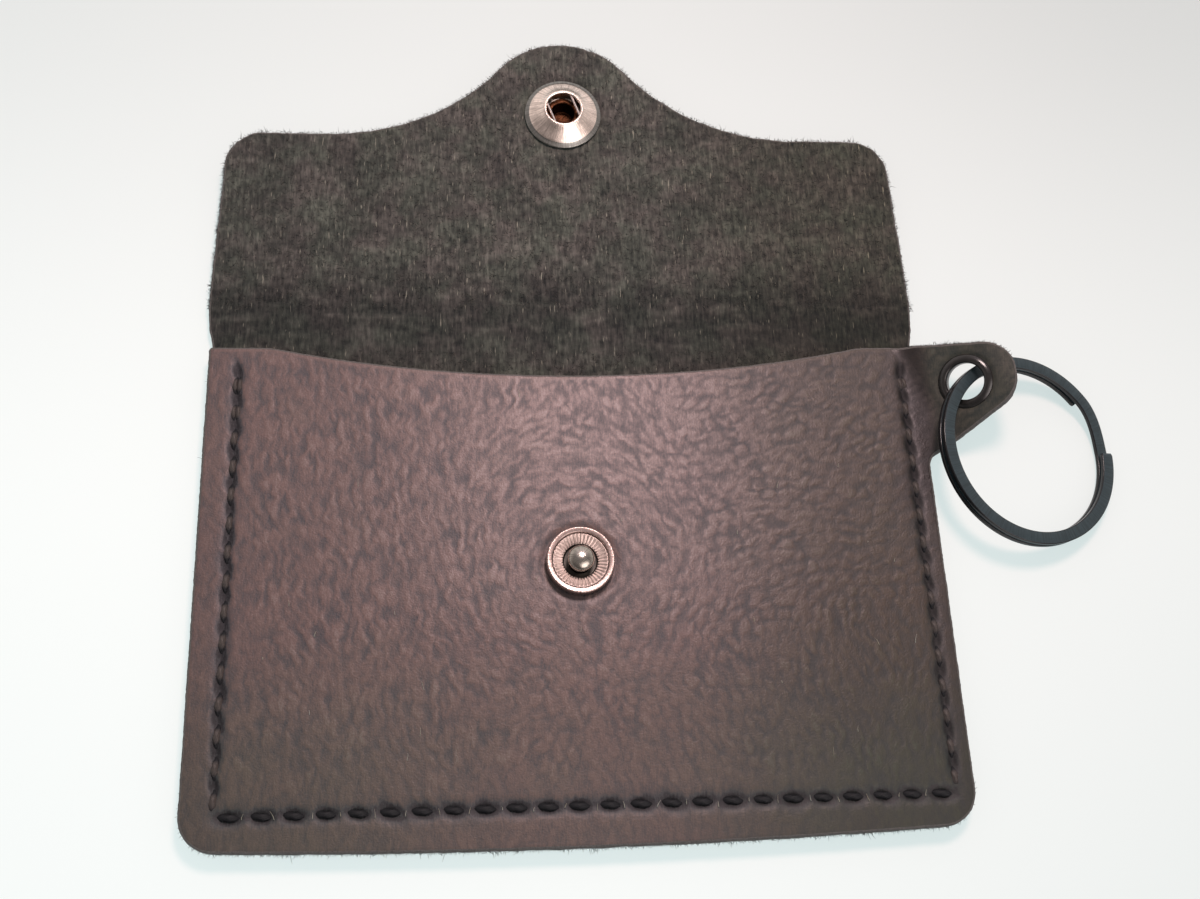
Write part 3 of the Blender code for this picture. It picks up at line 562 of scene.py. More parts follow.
def body_middle(x, y):
    """Middle surface of the back panel and the flap, which lies open with a small tilt."""
    u = y - FOLD_Y
    return about_fold(x, u, LEATHER / 2, FLAP_TILT * above(u, -FOLD_REACH, 2 * FOLD_REACH))


def on_surface(middle):
    """Makes place(x, y, h), which sets a pattern point h off the middle surface."""
    def place(x, y, h):
        e = 0.02
        n = unit(np.cross(middle(x + e, y) - middle(x - e, y), middle(x, y + e) - middle(x, y - e)))
        return middle(x, y) + n * np.asarray(h)[..., None]
    return place


front_place = on_surface(front_middle)
body_place = on_surface(body_middle)


def on_flap(points, level):
    """Points around the axis of the flap's half of the snap, raised by a level from its underside."""
    x, u, z = (points + (0, SNAP_FROM_FOLD, level)).T
    return about_fold(x, u, z, FLAP_TILT)


def seam_holes():
    """Stitch holes down the left side, along the bottom and up the right side."""
    stops = [np.array(p) for p in SEAM]
    holes = [stops[0]]
    for a, b in zip(stops, stops[1:]):
        count = round(float(np.hypot(*(b - a))) / STITCH_PITCH)
        holes += [a + (b - a) * k / count for k in range(1, count + 1)]
    return np.array(holes)


HOLES = seam_holes()
ON_BOTTOM = HOLES[:, 1] < SEAM[1][1] + 0.1
SEAM_BAND = 1.6
BACK_SHIFT = 200
STITCH_STEPS = 17


def seam_dips():
    """Middle, angle, length and width of the leather's dips: at the holes of the two sides, and under
    the stitches of the bottom row."""
    row = HOLES[ON_BOTTOM]
    even = [(x, y, 94, 1.4, 0.58) for x, y in HOLES[~ON_BOTTOM]]
    even += [(x, y, -8, 1.6, 0.88) for x, y in (row[1:] + row[:-1]) / 2]
    rng = np.random.default_rng(9)
    dips = []
    for x, y, slant, length, width in even:
        slant = math.radians(slant + rng.uniform(-12, 12))
        size = rng.uniform(0.88, 1.12)
        dips.append((x, y, slant, length * size, width * size))
    return dips


DIPS = seam_dips()
DIP_REACH = 3.0


def seam_distance(x, y):
    """How far inside the three rows of the seam a point is, negative outside, and how far above them."""
    inner = np.minimum(np.minimum(x - SEAM[0][0], SEAM[2][0] - x), y - SEAM[1][1])
    return inner, np.clip(y - SEAM[0][1], 0, None)


def seam_press(x, y, groove, dimple):
    """How far the stitches draw the leather in: a groove along the rows and the dips."""
    inner, beyond = seam_distance(x, y)
    deep = np.zeros(np.shape(x))
    for dip_x, dip_y, slant, length, width in DIPS:
        close = (np.abs(x - dip_x) < DIP_REACH) & (np.abs(y - dip_y) < DIP_REACH)
        dx, dy = x[close] - dip_x, y[close] - dip_y
        along = (dx * math.cos(slant) + dy * math.sin(slant)) / length
        across = (dy * math.cos(slant) - dx * math.sin(slant)) / width
        deep[close] = np.maximum(deep[close], np.exp(-(along ** 2 + across ** 2)))
    return hump(inner, 0, 0.95) * hump(beyond, 0, 0.8) * groove + deep * dimple


def front_flow(x, y):
    """Direction of the wrinkles on the front, as an angle and how strongly they follow it.

    Fields of (weight, angle) are blended: one at the left, one round the stud, three patches and a
    weak one that wanders."""
    r, round_it = np.hypot(x, y), np.arctan2(y, x) + np.pi / 2
    under = above(np.abs(np.arctan2(x, y)), 2.3, 0.6)
    fields = [(0.15 + 0.85 * below(x, -6, 20), 1.83),
              (1.8 * hump(r, 13, 9) * (1 - 0.8 * under), round_it),
              (1.2 * above(x, 8, 14) * above(y, -12, 16), 0.26),
              (0.9 * hump(x, 15, 13) * hump(y, -19, 11), -0.95),
              (0.7 * hump(x, -2, 20) * hump(y, 27, 8), 1.6),
              (0.35, 1.4 + 1.5 * fractal(x, y, 16, 2, 140))]
    c = sum(w * np.cos(2 * a) for w, a in fields)
    s = sum(w * np.sin(2 * a) for w, a in fields)
    return np.arctan2(s, c) / 2, np.hypot(c, s) / sum(w for w, _ in fields)


def back_flow(x, y):
    """The same for the outer side of the back and the flap, where they wander about upright."""
    return 1.57 + 1.3 * fractal(x, y, 22, 2, 150), np.full(np.shape(x), 0.55)


def drawn(x, y, angle, across, along, seed):
    """Smooth noise drawn out along a flow, blended from six fixed directions."""
    total, power = np.zeros(np.shape(x)), np.zeros(np.shape(x))
    for k in range(6):
        a = math.radians(30 * k)
        weight = np.clip(np.cos(2 * (angle - a)) * 3.2 - 2.2, 0, 1)
        hit = weight > 0
        u = x[hit] * math.cos(a) + y[hit] * math.sin(a)
        v = y[hit] * math.cos(a) - x[hit] * math.sin(a)
        total[hit] += weight[hit] * noise(v / across, u / along, seed + k)
        power[hit] += weight[hit] ** 2
    return total / np.sqrt(power)


def grain(x, y, flow_of, seed):
    """Grain of the smooth side: low in the creases, high on the pebbles between them."""
    x = x + 0.62 * fractal(x, y, 2.0, 2, seed)
    y = y + 0.62 * fractal(x, y, 2.0, 2, seed + 40)
    angle = flow_of(x, y)[0]
    middle, border = cells(x, y, flow_of, 1.02, 3.3, seed + 50)
    pebble = np.exp(-(middle / 0.58) ** 4)
    crease = hump(border, 0, 0.30) * (0.25 + 0.75 * smoothstep(0.5 + 1.3 * fractal(x, y, 2.6, 2, seed + 9)))
    small = np.exp(-(cells(x, y, flow_of, 0.62, 1.1, seed + 60)[0] / 0.55) ** 3)
    wave = drawn(x, y, angle, 0.75, 2.8, seed + 90)
    fold = (1 - np.clip(np.abs(drawn(x, y, angle, 2.0, 7.5, seed + 70)), 0, 1)) ** 5
    depth = 0.5 + 0.5 * smoothstep(0.5 + 1.2 * fractal(x, y, 6, 2, seed + 7))
    patch = smoothstep(0.5 + fractal(x, y, 12, 2, seed + 8))
    swell = fractal(x, y, 2.4, 2, seed + 31)
    streaky = below(x, 8, 24)
    veins = (0.30 - 0.08 * streaky) * crease
    rise = depth * (0.22 * (pebble - 0.6) - veins + (0.22 + 0.14 * streaky) * wave) \
        + 0.16 * (small - 0.5) - 0.16 * patch * fold + 0.05 * swell
    return 0.62 + 0.28 * np.tanh((rise + 0.03) / 0.28)


def grain_strength(x, y):
    """How deep the front's grain is: less outside the seam, on the tab and low down."""
    inner = np.where(x > HALF_WIDTH, -3, seam_distance(x, y)[0])
    field = np.where(inner > 0, 0.65 + 0.35 * above(inner, 0, 6), 0.6)
    return field * (0.85 + 0.15 * above(y, -30, 14)) * (1 + 0.3 * above(x, 10, 24))


def scoop_line(x, y):
    """1 along the burnished upper edge of the pocket, whose lighter line is partly a painted highlight."""
    return above(y - scoop_y(x), -1.15, 0.5) * (np.abs(x) < HALF_WIDTH - 1)


def front_height(x, y, side):
    """Relief of the front: grain, drawn in at the eyelet, the stud and the seam."""
    from_eyelet = np.hypot(x - EYELET_FLAT[0], y - EYELET_FLAT[1])
    press = 0.3 * (1 - above(from_eyelet, 4.05, 0.7))
    if side < 0:
        return 0.05 * fractal(x, y, 1, 3, 91) - press
    stud = 0.22 * (1 - above(np.hypot(x, y), 4.7, 1.6))
    relief = 0.085 * (grain(x, y, front_flow, 100) - 0.6) * grain_strength(x, y)
    relief = relief * (1 - 0.8 * scoop_line(x, y)) * above(from_eyelet, 4.2, 1.0)
    return relief - press - stud - seam_press(x, y, 0.06, 0.46)


def front_marks(x, y, side):
    """tone: low in creases. shade: mostly painted shade, for light that falls off and for a shadow round the
    stud, with darker margins and some mottling. dull: how far its brown is greyed, mostly as part of that
    painted shade.
    matt: 1 where it has lost its shine. warm: how far its brown is made yellower, towards the right."""
    if side < 0:
        return dict(tone=0.3, shade=0.8, dull=0, matt=0, warm=0)
    # press paints shade into the stitch dips and the seam's groove, where the tone drops to near black.
    press = seam_press(x, y, 0.22, 1.8)
    tone = 0.62 + 1.5 * (grain(x, y, front_flow, 100) - 0.60) * grain_strength(x, y)
    # Along the pocket's mouth the tone is raised to a lighter line: its burnish, with a painted highlight.
    tone = np.maximum(tone, 0.85 * scoop_line(x, y)) - press
    tab = above(x, 53, 4)
    # bend marks the tab's bend, where shade is painted over its sheen and the leather is made matt.
    bend = hump(along_tab(x, y), 1.1, 1.8) * above(x, 50, 4)
    # Painted shade for light falling off to the right, less low down and on the tab, more in a strip by the
    # seam where the tab starts.
    right = above(x, 1, 40) * (0.58 - 0.15 * below(y, -8, 26)) + 0.2 * above(x, 47, 4) * above(y, 2, 10)
    right = right * (1 - 0.55 * above(x, 54, 3))
    margin = (0.05 + 0.08 * (x > 0)) * above(np.abs(x - SEAM_MIDDLE), 49.5, 2)
    # Painted shade also darkens the left, the bottom and a ring round the stud, where its shadow falls; the
    # margins outside the seam are darker and the leather is mottled at random.
    shade = 1 - right - margin - 0.07 * below(x, -8, 30) - 0.12 * below(y, -8, 26) \
        - 0.05 * fractal(x, y, 9, 2, 161) - 0.17 * hump(np.hypot(x, y), 5.4, 2.6)
    low = below(y, -6, 26)
    # dull greys the brown where the shade is painted, low down, to the right and on the tab, and a little at
    # random.
    dull = low * (0.25 + 0.3 * below(x, -6, 30) + 0.4 * above(x, 4, 32)) + 0.35 * above(x, 10, 35) \
        + 0.5 * tab + 0.10 * fractal(x, y, 7, 2, 171)
    matt = np.maximum(np.maximum(tab, bend), np.clip(0.4 * press, 0, 0.8))
    return dict(tone=np.clip(tone, 0, 1), shade=shade * (1 - 0.2 * bend), dull=np.clip(dull, 0, 1),
                matt=matt, warm=above(x, 16, 28) * (1 - 0.7 * low) * (1 - tab))


def body_marks(x, y, side):
    """The same marks for the suede above and the outer side below."""
    if side < 0:
        # The seam's dips and groove get painted shade here too.
        tone = grain(x + BACK_SHIFT, y, back_flow, 300) - seam_press(x, y, 0.2, 0.8)
        return dict(tone=np.clip(tone, 0, 1), shade=0.95, dull=0.3, warm=0)
    tufts, rolls = nap(x, y)
    u = y - FOLD_Y
    tone = 0.5 + 0.3 * fractal(x, y, 7, 3, 81) + 0.38 * tufts + 0.65 * rolls - 0.3 * hump(u, 2.5, 5.0)
    # Painted shade: the suede is darker towards both sides and from 12 mm past the fold down into the
    # pocket.
    shade = 1 - 0.28 * above(x, 0, 42) - 0.14 * below(x, -5, 40) - 0.26 * below(u, 12, 14)
    return dict(tone=np.clip(tone, 0, 1), shade=shade, dull=0, warm=0.4 * above(x, 8, 40))


def nap(x, y):
    """Suede relief: short matted tufts, crushed into rolls along the fold."""
    rolls = hump(y - FOLD_Y, 3, 5.0) * fractal(x / 5.5, y / 1.5, 1, 2, 71)
    return fractal(x, y, 1.1, 3, 61), rolls


def body_height(x, y, side):
    """Relief of the suede and of the outer side, both drawn in at the snap."""
    from_snap = np.hypot(x, y - FOLD_Y - SNAP_FROM_FOLD)
    if side > 0:
        tufts, rolls = nap(x, y)
        return 0.085 * tufts + 0.2 * rolls - 0.25 * (1 - above(from_snap, 6.0, 1.4))
    relief = 0.13 * (grain(x + BACK_SHIFT, y, back_flow, 300) - 0.75)
    return np.minimum(relief, 0) - 0.3 * (1 - above(from_snap, 6.2, 1.2)) - seam_press(x, y, 0.75, 0.35)


def near_seam(points):
    """Which points lie in the finely meshed band along the seam."""
    inner, beyond = seam_distance(points[:, 0], points[:, 1])
    return (np.abs(inner) < SEAM_BAND) & (beyond < SEAM_BAND)


def seam_fill(box, step, fine, seed):
    """Face points: coarse in general, fine along the seam."""
    wide, band = grid(box, step, seed), grid(box, fine, seed + 1)
    return np.vstack([wide[~near_seam(wide)], band[near_seam(band)]])


# Materials

class Nodes:
    """Short calls that add nodes to the tree of a material or of the world."""

    def __init__(self, tree):
        self.tree = tree

    def give(self, target, value):
        """Links another node's output to an input, or sets its number, vector or colour."""
        if isinstance(value, bpy.types.NodeSocket):
            self.tree.links.new(value, target)
        else:
            target.default_value = (*value, 1.0) if target.type == "RGBA" else value

    def add(self, kind, out, inputs, **settings):
        made = self.tree.nodes.new("ShaderNode" + kind)
        for key, value in settings.items():
            setattr(made, key, value)
        for key, value in inputs.items():
            self.give(made.inputs[key], value)
        return made.outputs[out]

    def maths(self, operation, a, b):
        return self.add("Math", 0, {0: a, 1: b}, operation=operation)

    def span(self, value, low, high, to_low, to_high, kind="LINEAR"):
        return self.add("MapRange", 0, {0: value, 1: low, 2: high, 3: to_low, 4: to_high},
                        interpolation_type=kind)

    def mix(self, factor, a, b, kind="MIX"):
        return self.add("Mix", 2, {0: factor, 6: a, 7: b}, data_type="RGBA", blend_type=kind)

    def ramp(self, value, *stops):
        """Colour ramp through (position, colour) stops."""
        colour = self.add("ValToRGB", 0, {0: value})
        marks = colour.node.color_ramp.elements
        while len(marks) < len(stops):
            marks.new(0.5)
        for mark, (place, shade) in zip(marks, stops):
            mark.position = place
            mark.color = (*shade, 1.0)
        return colour


class Surface(Nodes):
    """A Principled material."""

    def __init__(self, name, **values):
        self.made = bpy.data.materials.new(name)
        self.made.use_nodes = True
        super().__init__(self.made.node_tree)
        self.shader = self.tree.nodes["Principled BSDF"]
        for key, value in values.items():
            self.put(key, value)

    def put(self, socket, value):
        self.give(self.shader.inputs[socket], value)

    def pattern(self, across=1.0, along=1.0):
        """Pattern coordinates in millimetres, each scaled."""
        uv = self.add("UVMap", "UV", {}, uv_map="pattern")
        scale = (across / UV_SCALE, along / UV_SCALE, 1.0)
        return self.add("Mapping", "Vector", {"Vector": uv, "Scale": scale})

    def noise(self, vector, scale, detail, rough):
        return self.add("TexNoise", "Fac", {"Vector": vector, "Scale": scale, "Detail": detail,
                                            "Roughness": rough})

    def mark(self, name):
        """One of the marks that the mesh carries."""
        return self.add("Attribute", "Fac", {}, attribute_name=name)

    def shaded(self, colour):
        """The colour greyed by the dull attribute, made browner by warm and scaled by shade; shade and most
        of dull are painted shade.
        """
        grey = self.mix(1.0, colour, (0.52, 0.94, 0.73), "MULTIPLY")
        colour = self.mix(self.mark("dull"), colour, grey)
        brown = self.mix(1.0, colour, (0.90, 0.88, 0.66), "MULTIPLY")
        return self.mix(1.0, self.mix(self.mark("warm"), colour, brown), self.mark("shade"), "MULTIPLY")

    def bump(self, height, distance, strength):
        relief = {"Height": height, "Distance": distance * MM, "Strength": strength}
        self.put("Normal", self.add("Bump", "Normal", relief))


def grained_leather(name, crease, crown, worn):
    """Smooth side of the leather, from the colour of its creases to that of its worn crowns."""
    m = Surface(name, IOR=1.5)
    flat = m.pattern()
    pores = m.noise(flat, 3.4, 3.0, 0.6)
    streak = m.noise(m.pattern(1.0, 0.2), 4.5, 2.0, 0.6)
    wide = m.noise(flat, 0.05, 2.0, 0.5)
    spread = m.maths("ADD", m.span(pores, 0.3, 0.7, -0.1, 0.1), m.span(streak, 0.3, 0.7, -0.16, 0.16))
    tone = m.maths("ADD", m.mark("tone"), spread)
    # Tone near 0, in the stitch dips, gives near black: painted shade.
    colour = m.ramp(tone, (0.0, (0.010, 0.009, 0.011)), (0.16, crease),
                    (0.5, tuple(np.add(crease, crown) * 0.47)), (0.84, crown), (1.0, worn))
    colour = m.mix(m.span(wide, 0.35, 0.65, 0.0, 0.15), colour, m.mix(0.5, colour, crease))
    m.put("Base Color", m.shaded(colour))
    m.put("Specular IOR Level", 0.6)
    m.put("Specular Tint", (1.0, 0.92, 0.97))
    matt = m.maths("MULTIPLY", m.mark("matt"), 0.32)
    m.put("Roughness", m.maths("ADD", m.span(tone, 0.30, 0.86, 0.50, 0.37), matt))
    m.bump(pores, 0.045, 0.9)
    return m.made


def suede(name, low, high):
    """Flesh side of the leather: short fibres of two hues with a few pale glints."""
    m = Surface(name, Roughness=0.95, IOR=1.4)
    fibre = m.noise(m.pattern(1.0, 0.18), 2.1, 3.0, 0.62)
    cross = m.noise(m.pattern(0.8, 1.0), 0.9, 3.0, 0.6)
    mixed = m.maths("ADD", m.maths("MULTIPLY", fibre, 0.66), m.maths("MULTIPLY", cross, 0.34))
    tone = m.span(m.mark("tone"), 0.2, 0.8, -0.28, 0.28)
    shade = m.maths("ADD", m.span(mixed, 0.34, 0.66, 0.14, 0.86), tone)
    colour = m.ramp(shade, (0.0, low), (0.5, tuple(np.add(low, high) * 0.4)), (1.0, high))
    hue = m.noise(m.pattern(), 0.15, 4.0, 0.6)
    green, red = (m.mix(1.0, colour, tint, "MULTIPLY") for tint in ((0.96, 1.01, 0.95), (1.09, 0.97, 1.0)))
    colour = m.mix(m.span(hue, 0.40, 0.60, 0.0, 1.0), green, red)
    glint = m.noise(m.pattern(1.0, 0.14), 3.0, 2.0, 0.5)
    colour = m.mix(m.span(glint, 0.66, 0.74, 0.0, 0.9), colour, (0.34, 0.28, 0.22))
    m.put("Base Color", m.shaded(colour))
    m.put("Sheen Weight", 0.2)
    m.put("Sheen Roughness", 0.5)
    m.put("Sheen Tint", (0.85, 0.8, 0.78))
    m.bump(mixed, 0.35, 0.9)
    return m.made


def cut_edge(name):
    """Raw fibres of a cut, smoother and lighter where the edge is burnished, the lighter colour partly a
    painted highlight.
    """
    m = Surface(name, Roughness=0.9)
    fibre = m.noise(m.pattern(2.4, 1.0), 1.7, 4.0, 0.7)
    raw = m.ramp(fibre, (0.3, (0.08, 0.066, 0.060)), (0.7, (0.19, 0.15, 0.135)))
    m.put("Base Color", m.mix(m.span(m.mark("tone"), 0.8, 0.95, 0.0, 1.0), raw, (0.16, 0.125, 0.115)))
    m.bump(fibre, 0.2, 0.9)
    return m.made


def waxed_thread(name):
    """Black waxed thread whose fibres have a painted highlight of lighter brown at the top of a stitch, and
    painted shade, near black, where it dives into the leather.
    """
    m = Surface(name, IOR=1.55)
    fibre = m.noise(m.pattern(0.6, 3.0), 2.4, 3.0, 0.6)
    # lit is the colour of the painted highlight.
    lit = m.ramp(fibre, (0.3, (0.035, 0.026, 0.025)), (0.7, (0.125, 0.088, 0.074)))
    tone = m.mark("tone")
    m.put("Base Color", m.mix(m.span(tone, 0.84, 0.99, 0.0, 1.0), (0.006, 0.006, 0.008), lit))
    m.put("Specular IOR Level", 0.28)
    m.put("Roughness", m.span(tone, 0.5, 1.0, 0.8, 0.45))
    m.bump(fibre, 0.05, 0.8)
    return m.made


def plated(name, colour, rough, lines=0.0, metallic=1.0, tint=None):
    """Plated or blackened metal with specks of a tint and fine turning marks of a depth."""
    m = Surface(name, Metallic=metallic)
    marks = m.noise(m.pattern(3.0, 0.12), 2.2, 3.0, 0.7)
    specks = m.noise(m.pattern(), 2.0, 3.0, 0.6)
    base = m.mix(m.span(specks, 0.4, 0.7, 0.0, 0.7), colour, tint or tuple(np.multiply(colour, 0.72)))
    if lines:
        base = m.mix(m.span(marks, 0.42, 0.62, 0.0, 0.75), base, tuple(np.multiply(colour, 0.45)))
        m.bump(marks, lines, 0.8)
    m.put("Base Color", base)
    m.put("Roughness", m.span(marks, 0.3, 0.7, rough * 0.75, rough * 1.25))
    return m.made


def loose_fibre(name):
    """Stray fibres, most of them dark."""
    m = Surface(name, Roughness=0.7)
    shade = m.noise(m.pattern(), 0.35, 1.0, 0.5)
    m.put("Base Color", m.ramp(shade, (0.35, (0.014, 0.013, 0.012)), (0.55, (0.05, 0.043, 0.038)),
                               (0.72, (0.16, 0.12, 0.095))))
    return m.made


# Camera, light and floor

def add_camera():
    """Camera fitted to the outline in the photo."""
    data = bpy.data.cameras.new("camera")
    data.sensor_width = 36.0
    data.lens = 39.0
    data.clip_start = 0.005
    made = bpy.data.objects.new("camera", data)
    right = Vector((0.99488, -0.04223, 0.09179))
    up = Vector((0.00745, 0.93665, 0.35019))
    back = right.cross(up)
    place = Matrix((right, up, back)).transposed().to_4x4()
    place.translation = Vector((-15.763, -49.62, 183.421)) * MM
    made.matrix_world = place
    bpy.context.scene.collection.objects.link(made)
    bpy.context.scene.camera = made


def add_lamp(name, place, size, colour, energy):
    """Round lamp at a place in metres, aimed at the origin."""
    data = bpy.data.lights.new(name, "AREA")
    data.shape = "DISK"
    data.size = size
    data.color = colour
    data.energy = energy
    made = bpy.data.objects.new(name, data)
    made.location = place
    made.rotation_euler = Vector(place).to_track_quat("Z", "Y").to_euler()
    bpy.context.scene.collection.objects.link(made)


def add_world():
    """Even cool light for matt surfaces; a room with a bright far side for shiny ones."""
    world = bpy.data.worlds.new("studio")
    world.use_nodes = True
    m = Nodes(world.node_tree)
    where = m.add("TexCoord", "Generated", {})

    def glow(way, *stops):
        """Light by direction: stops are (cosine of the angle from way, colour)."""
        turn = m.add("VectorMath", "Value", {0: where, 1: Vector(way).normalized()}, operation="DOT_PRODUCT")
        half = m.add("Math", 0, {0: turn, 1: 0.5, 2: 0.5}, operation="MULTIPLY_ADD")
        return m.ramp(half, *((cosine / 2 + 0.5, colour) for cosine, colour in stops))

    room = glow((0.1, 0.6, 0.79), (0.0, (0.15, 0.13, 0.125)), (0.55, (0.34, 0.30, 0.29)),
                (0.85, (0.32, 0.29, 0.29)), (0.97, (0.82, 0.715, 0.75)))
    walls = glow((0.0, 0.35, -0.94), (-0.62, (0.0, 0.0, 0.0)), (-0.2, (0.55, 0.49, 0.47)),
                 (0.4, (0.8, 0.74, 0.72)))
    window = glow((0.40, -0.58, 0.71), (0.86, (0.0, 0.0, 0.0)), (0.92, (1.0, 0.86, 0.82)),
                  (0.97, (3.4, 3.0, 2.9)))
    bright = m.mix(1.0, m.mix(1.0, room, walls, "ADD"), window, "ADD")
    seen = m.mix(m.add("LightPath", "Is Glossy Ray", {}), (0.40, 0.53, 0.57), bright)
    white = m.mix(m.add("LightPath", "Is Camera Ray", {}), seen, (1.0, 1.0, 0.985))
    m.give(m.tree.nodes["Background"].inputs[0], white)
    bpy.context.scene.world = world


def add_floor():
    """White paper. The eye sees half of it as its own light, so that its shadows stay pale."""
    m = Surface("floor_paper", Roughness=0.8)
    seen = m.add("LightPath", "Is Camera Ray", {})
    where = m.add("TexCoord", "Object", {})
    apart = m.add("VectorMath", "Value", {0: where}, operation="LENGTH")
    far = m.span(apart, 0.14, 0.5, 0.0, 1.0, "SMOOTHSTEP")
    # Painted shade on the paper: darker towards the right and the back, as light falls off, fading out far
    # away.
    to_right = m.span(m.add("SeparateXYZ", 0, {0: where}), -0.02, 0.12, 0.0, 0.115, "SMOOTHSTEP")
    to_back = m.span(m.add("SeparateXYZ", 1, {0: where}), 0.0, 0.13, 0.0, 0.22, "SMOOTHSTEP")
    fade = m.maths("MULTIPLY", m.maths("ADD", to_right, to_back), m.maths("SUBTRACT", 1.0, far))
    unfaded = m.maths("SUBTRACT", 1.0, fade)
    # Seen by the camera the paper is redder and its glow bluer, so that where shadow falls the glow paints
    # it blue.
    paper = m.mix(1.0, (0.445, 0.325, 0.30), unfaded, "MULTIPLY")
    m.put("Base Color", m.mix(seen, (0.93, 0.925, 0.90), paper))
    m.put("Specular IOR Level", 0.1)
    m.put("Emission Color", m.mix(far, (0.86, 1.0, 0.995), (1.0, 0.98, 0.97)))
    strength = m.maths("MULTIPLY", unfaded, m.span(far, 0.0, 1.0, 0.70, 0.82))
    m.put("Emission Strength", m.maths("MULTIPLY", seen, strength))
    reach, z = 2500.0, -0.02
    corners = [(-reach, -reach, z), (reach, -reach, z), (reach, reach, z), (-reach, reach, z)]
    make_mesh("floor", corners, [(0, 1, 2), (0, 2, 3)], materials=[m.made])


# Pieces

def declare(made, slot, body, *nodes):
    """The slot, a piece's finish, is not used; the body is the one that the piece moves with and the nodes
    are the CAD nodes that it stands for.
    """
    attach(made, body)
    if nodes:
        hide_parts(*nodes)


def add_piece(name, shape, materials, declared, parts=None, values=None):
    """Piece made of a (points, triangles, uv) shape; declared holds its slot, its body and its nodes."""
    verts, tris, uv = shape
    declare(make_mesh(name, verts, tris, uv, values, parts, materials), *declared)


def add_body(grain_side, suede_side, edge):
    """Back panel and flap: one sheet, suede inside and grain outside, bent a little at the fold, where the
    flap lies open. The part of the suede that lies deep in the pocket is meshed coarsely."""
    box = (-57, BOTTOM_Y - 3, 57, FOLD_Y + 53)
    upper, hidden = grid(box, step=0.55, seed=5), grid(box, step=2.2, seed=6)
    seen_from, hidden_to = FOLD_Y - 12, FOLD_Y - 12.5
    upper = np.vstack([upper[upper[:, 1] > seen_from], hidden[hidden[:, 1] <= hidden_to]])
    lower = seam_fill(box, step=0.5, fine=0.26, seed=7)
    hole_radius = 2.25
    hole = ((0.0, FOLD_Y + SNAP_FROM_FOLD), hole_radius)
    body = leather_sheet("body_leather", body_outline(), [hole], [upper, lower], body_place,
                         body_height, body_marks, [suede_side, edge, grain_side], step=0.42, ragged=0.13)
    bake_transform(body)
    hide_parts("back_panel", "flap_panel")


def add_front(grain_side, suede_side, edge):
    """Front of the pocket with the key tab, grain outside."""
    box = (-56, BOTTOM_Y - 3, 70, POCKET_Y + 2)
    fills = [seam_fill(box, step=0.31, fine=0.22, seed=15), grid(box, step=1.6, seed=17)]
    stud_hole, eyelet_hole = 1.65, 3.25
    holes = [((0.0, 0.0), stud_hole), (EYELET_FLAT, eyelet_hole)]
    front = leather_sheet("front_leather", front_outline(), holes, fills, front_place,
                          front_height, front_marks, [grain_side, edge, suede_side], step=0.33)
    declare(front, "brown_leather", "wallet", "front_panel")


def stitch_path(a, b, lean, low, high, rise, place, shift=0.0):
    """Centreline of one stitch: out of its first hole, over the leather, into the next."""
    t = np.linspace(0, 1, STITCH_STEPS)
    way = (b - a) / np.hypot(*(b - a))
    side = np.array([-way[1], way[0]])
    flat = a + (b - a) * t[:, None] + side * (lean * (0.5 - t) + shift * np.sin(np.pi * t))[:, None]
    return place(flat[:, 0], flat[:, 1], low + (high - low) * np.sin(np.pi * t) ** rise)


def add_stitches(thread):
    """Twisted stitches on the front, doubled at the seam's ends, and thin ones on the back."""
    pieces, lit = [], []
    rng = np.random.default_rng(4)
    swell = 0.7 + 0.3 * np.sin(np.pi * np.linspace(0, 1, STITCH_STEPS))
    for i, (a, b) in enumerate(zip(HOLES, HOLES[1:])):
        double = i in (0, 1, len(HOLES) - 2)
        top = LEATHER / 2 + rng.uniform(-0.06, 0.06)
        lean = -0.3 if a[0] > SEAM[2][0] - 0.1 else 0.3
        for shift in ((-0.34, 0.36) if double else (0.0,)):
            path = stitch_path(a, b, lean + rng.uniform(-0.1, 0.1), top - 1.3, top - 0.14, 1.2,
                               front_place, shift)
            pieces.append(tube(path, (0.33 if double else 0.46) * swell, 15, lobes=3, twist=1.6, depth=0.15))
            lit.append(0.82 if ON_BOTTOM[i] and ON_BOTTOM[i + 1] else 1.0)
        path = stitch_path(a, b, -0.25, -LEATHER / 2 + 0.7, -LEATHER / 2 + 0.33, 0.5, body_place)
        pieces.append(tube(path, radius=0.27, sides=9, lobes=3, twist=2.4, depth=0.08))
        lit.append(1.0)
    # tone paints the highlight along each stitch, strongest at its top; the bottom row's stitches, scaled by
    # 0.82, get none of it and stay painted dark.
    tone = [k * np.sin(np.pi * uv[:, 0] / uv[:, 0].max()) for k, (_, _, uv) in zip(lit, pieces)]
    add_piece("seam_stitches", join(pieces), [thread], ["black_waxed_thread", "wallet", "seam_thread"],
              values={"tone": np.concatenate(tone)})


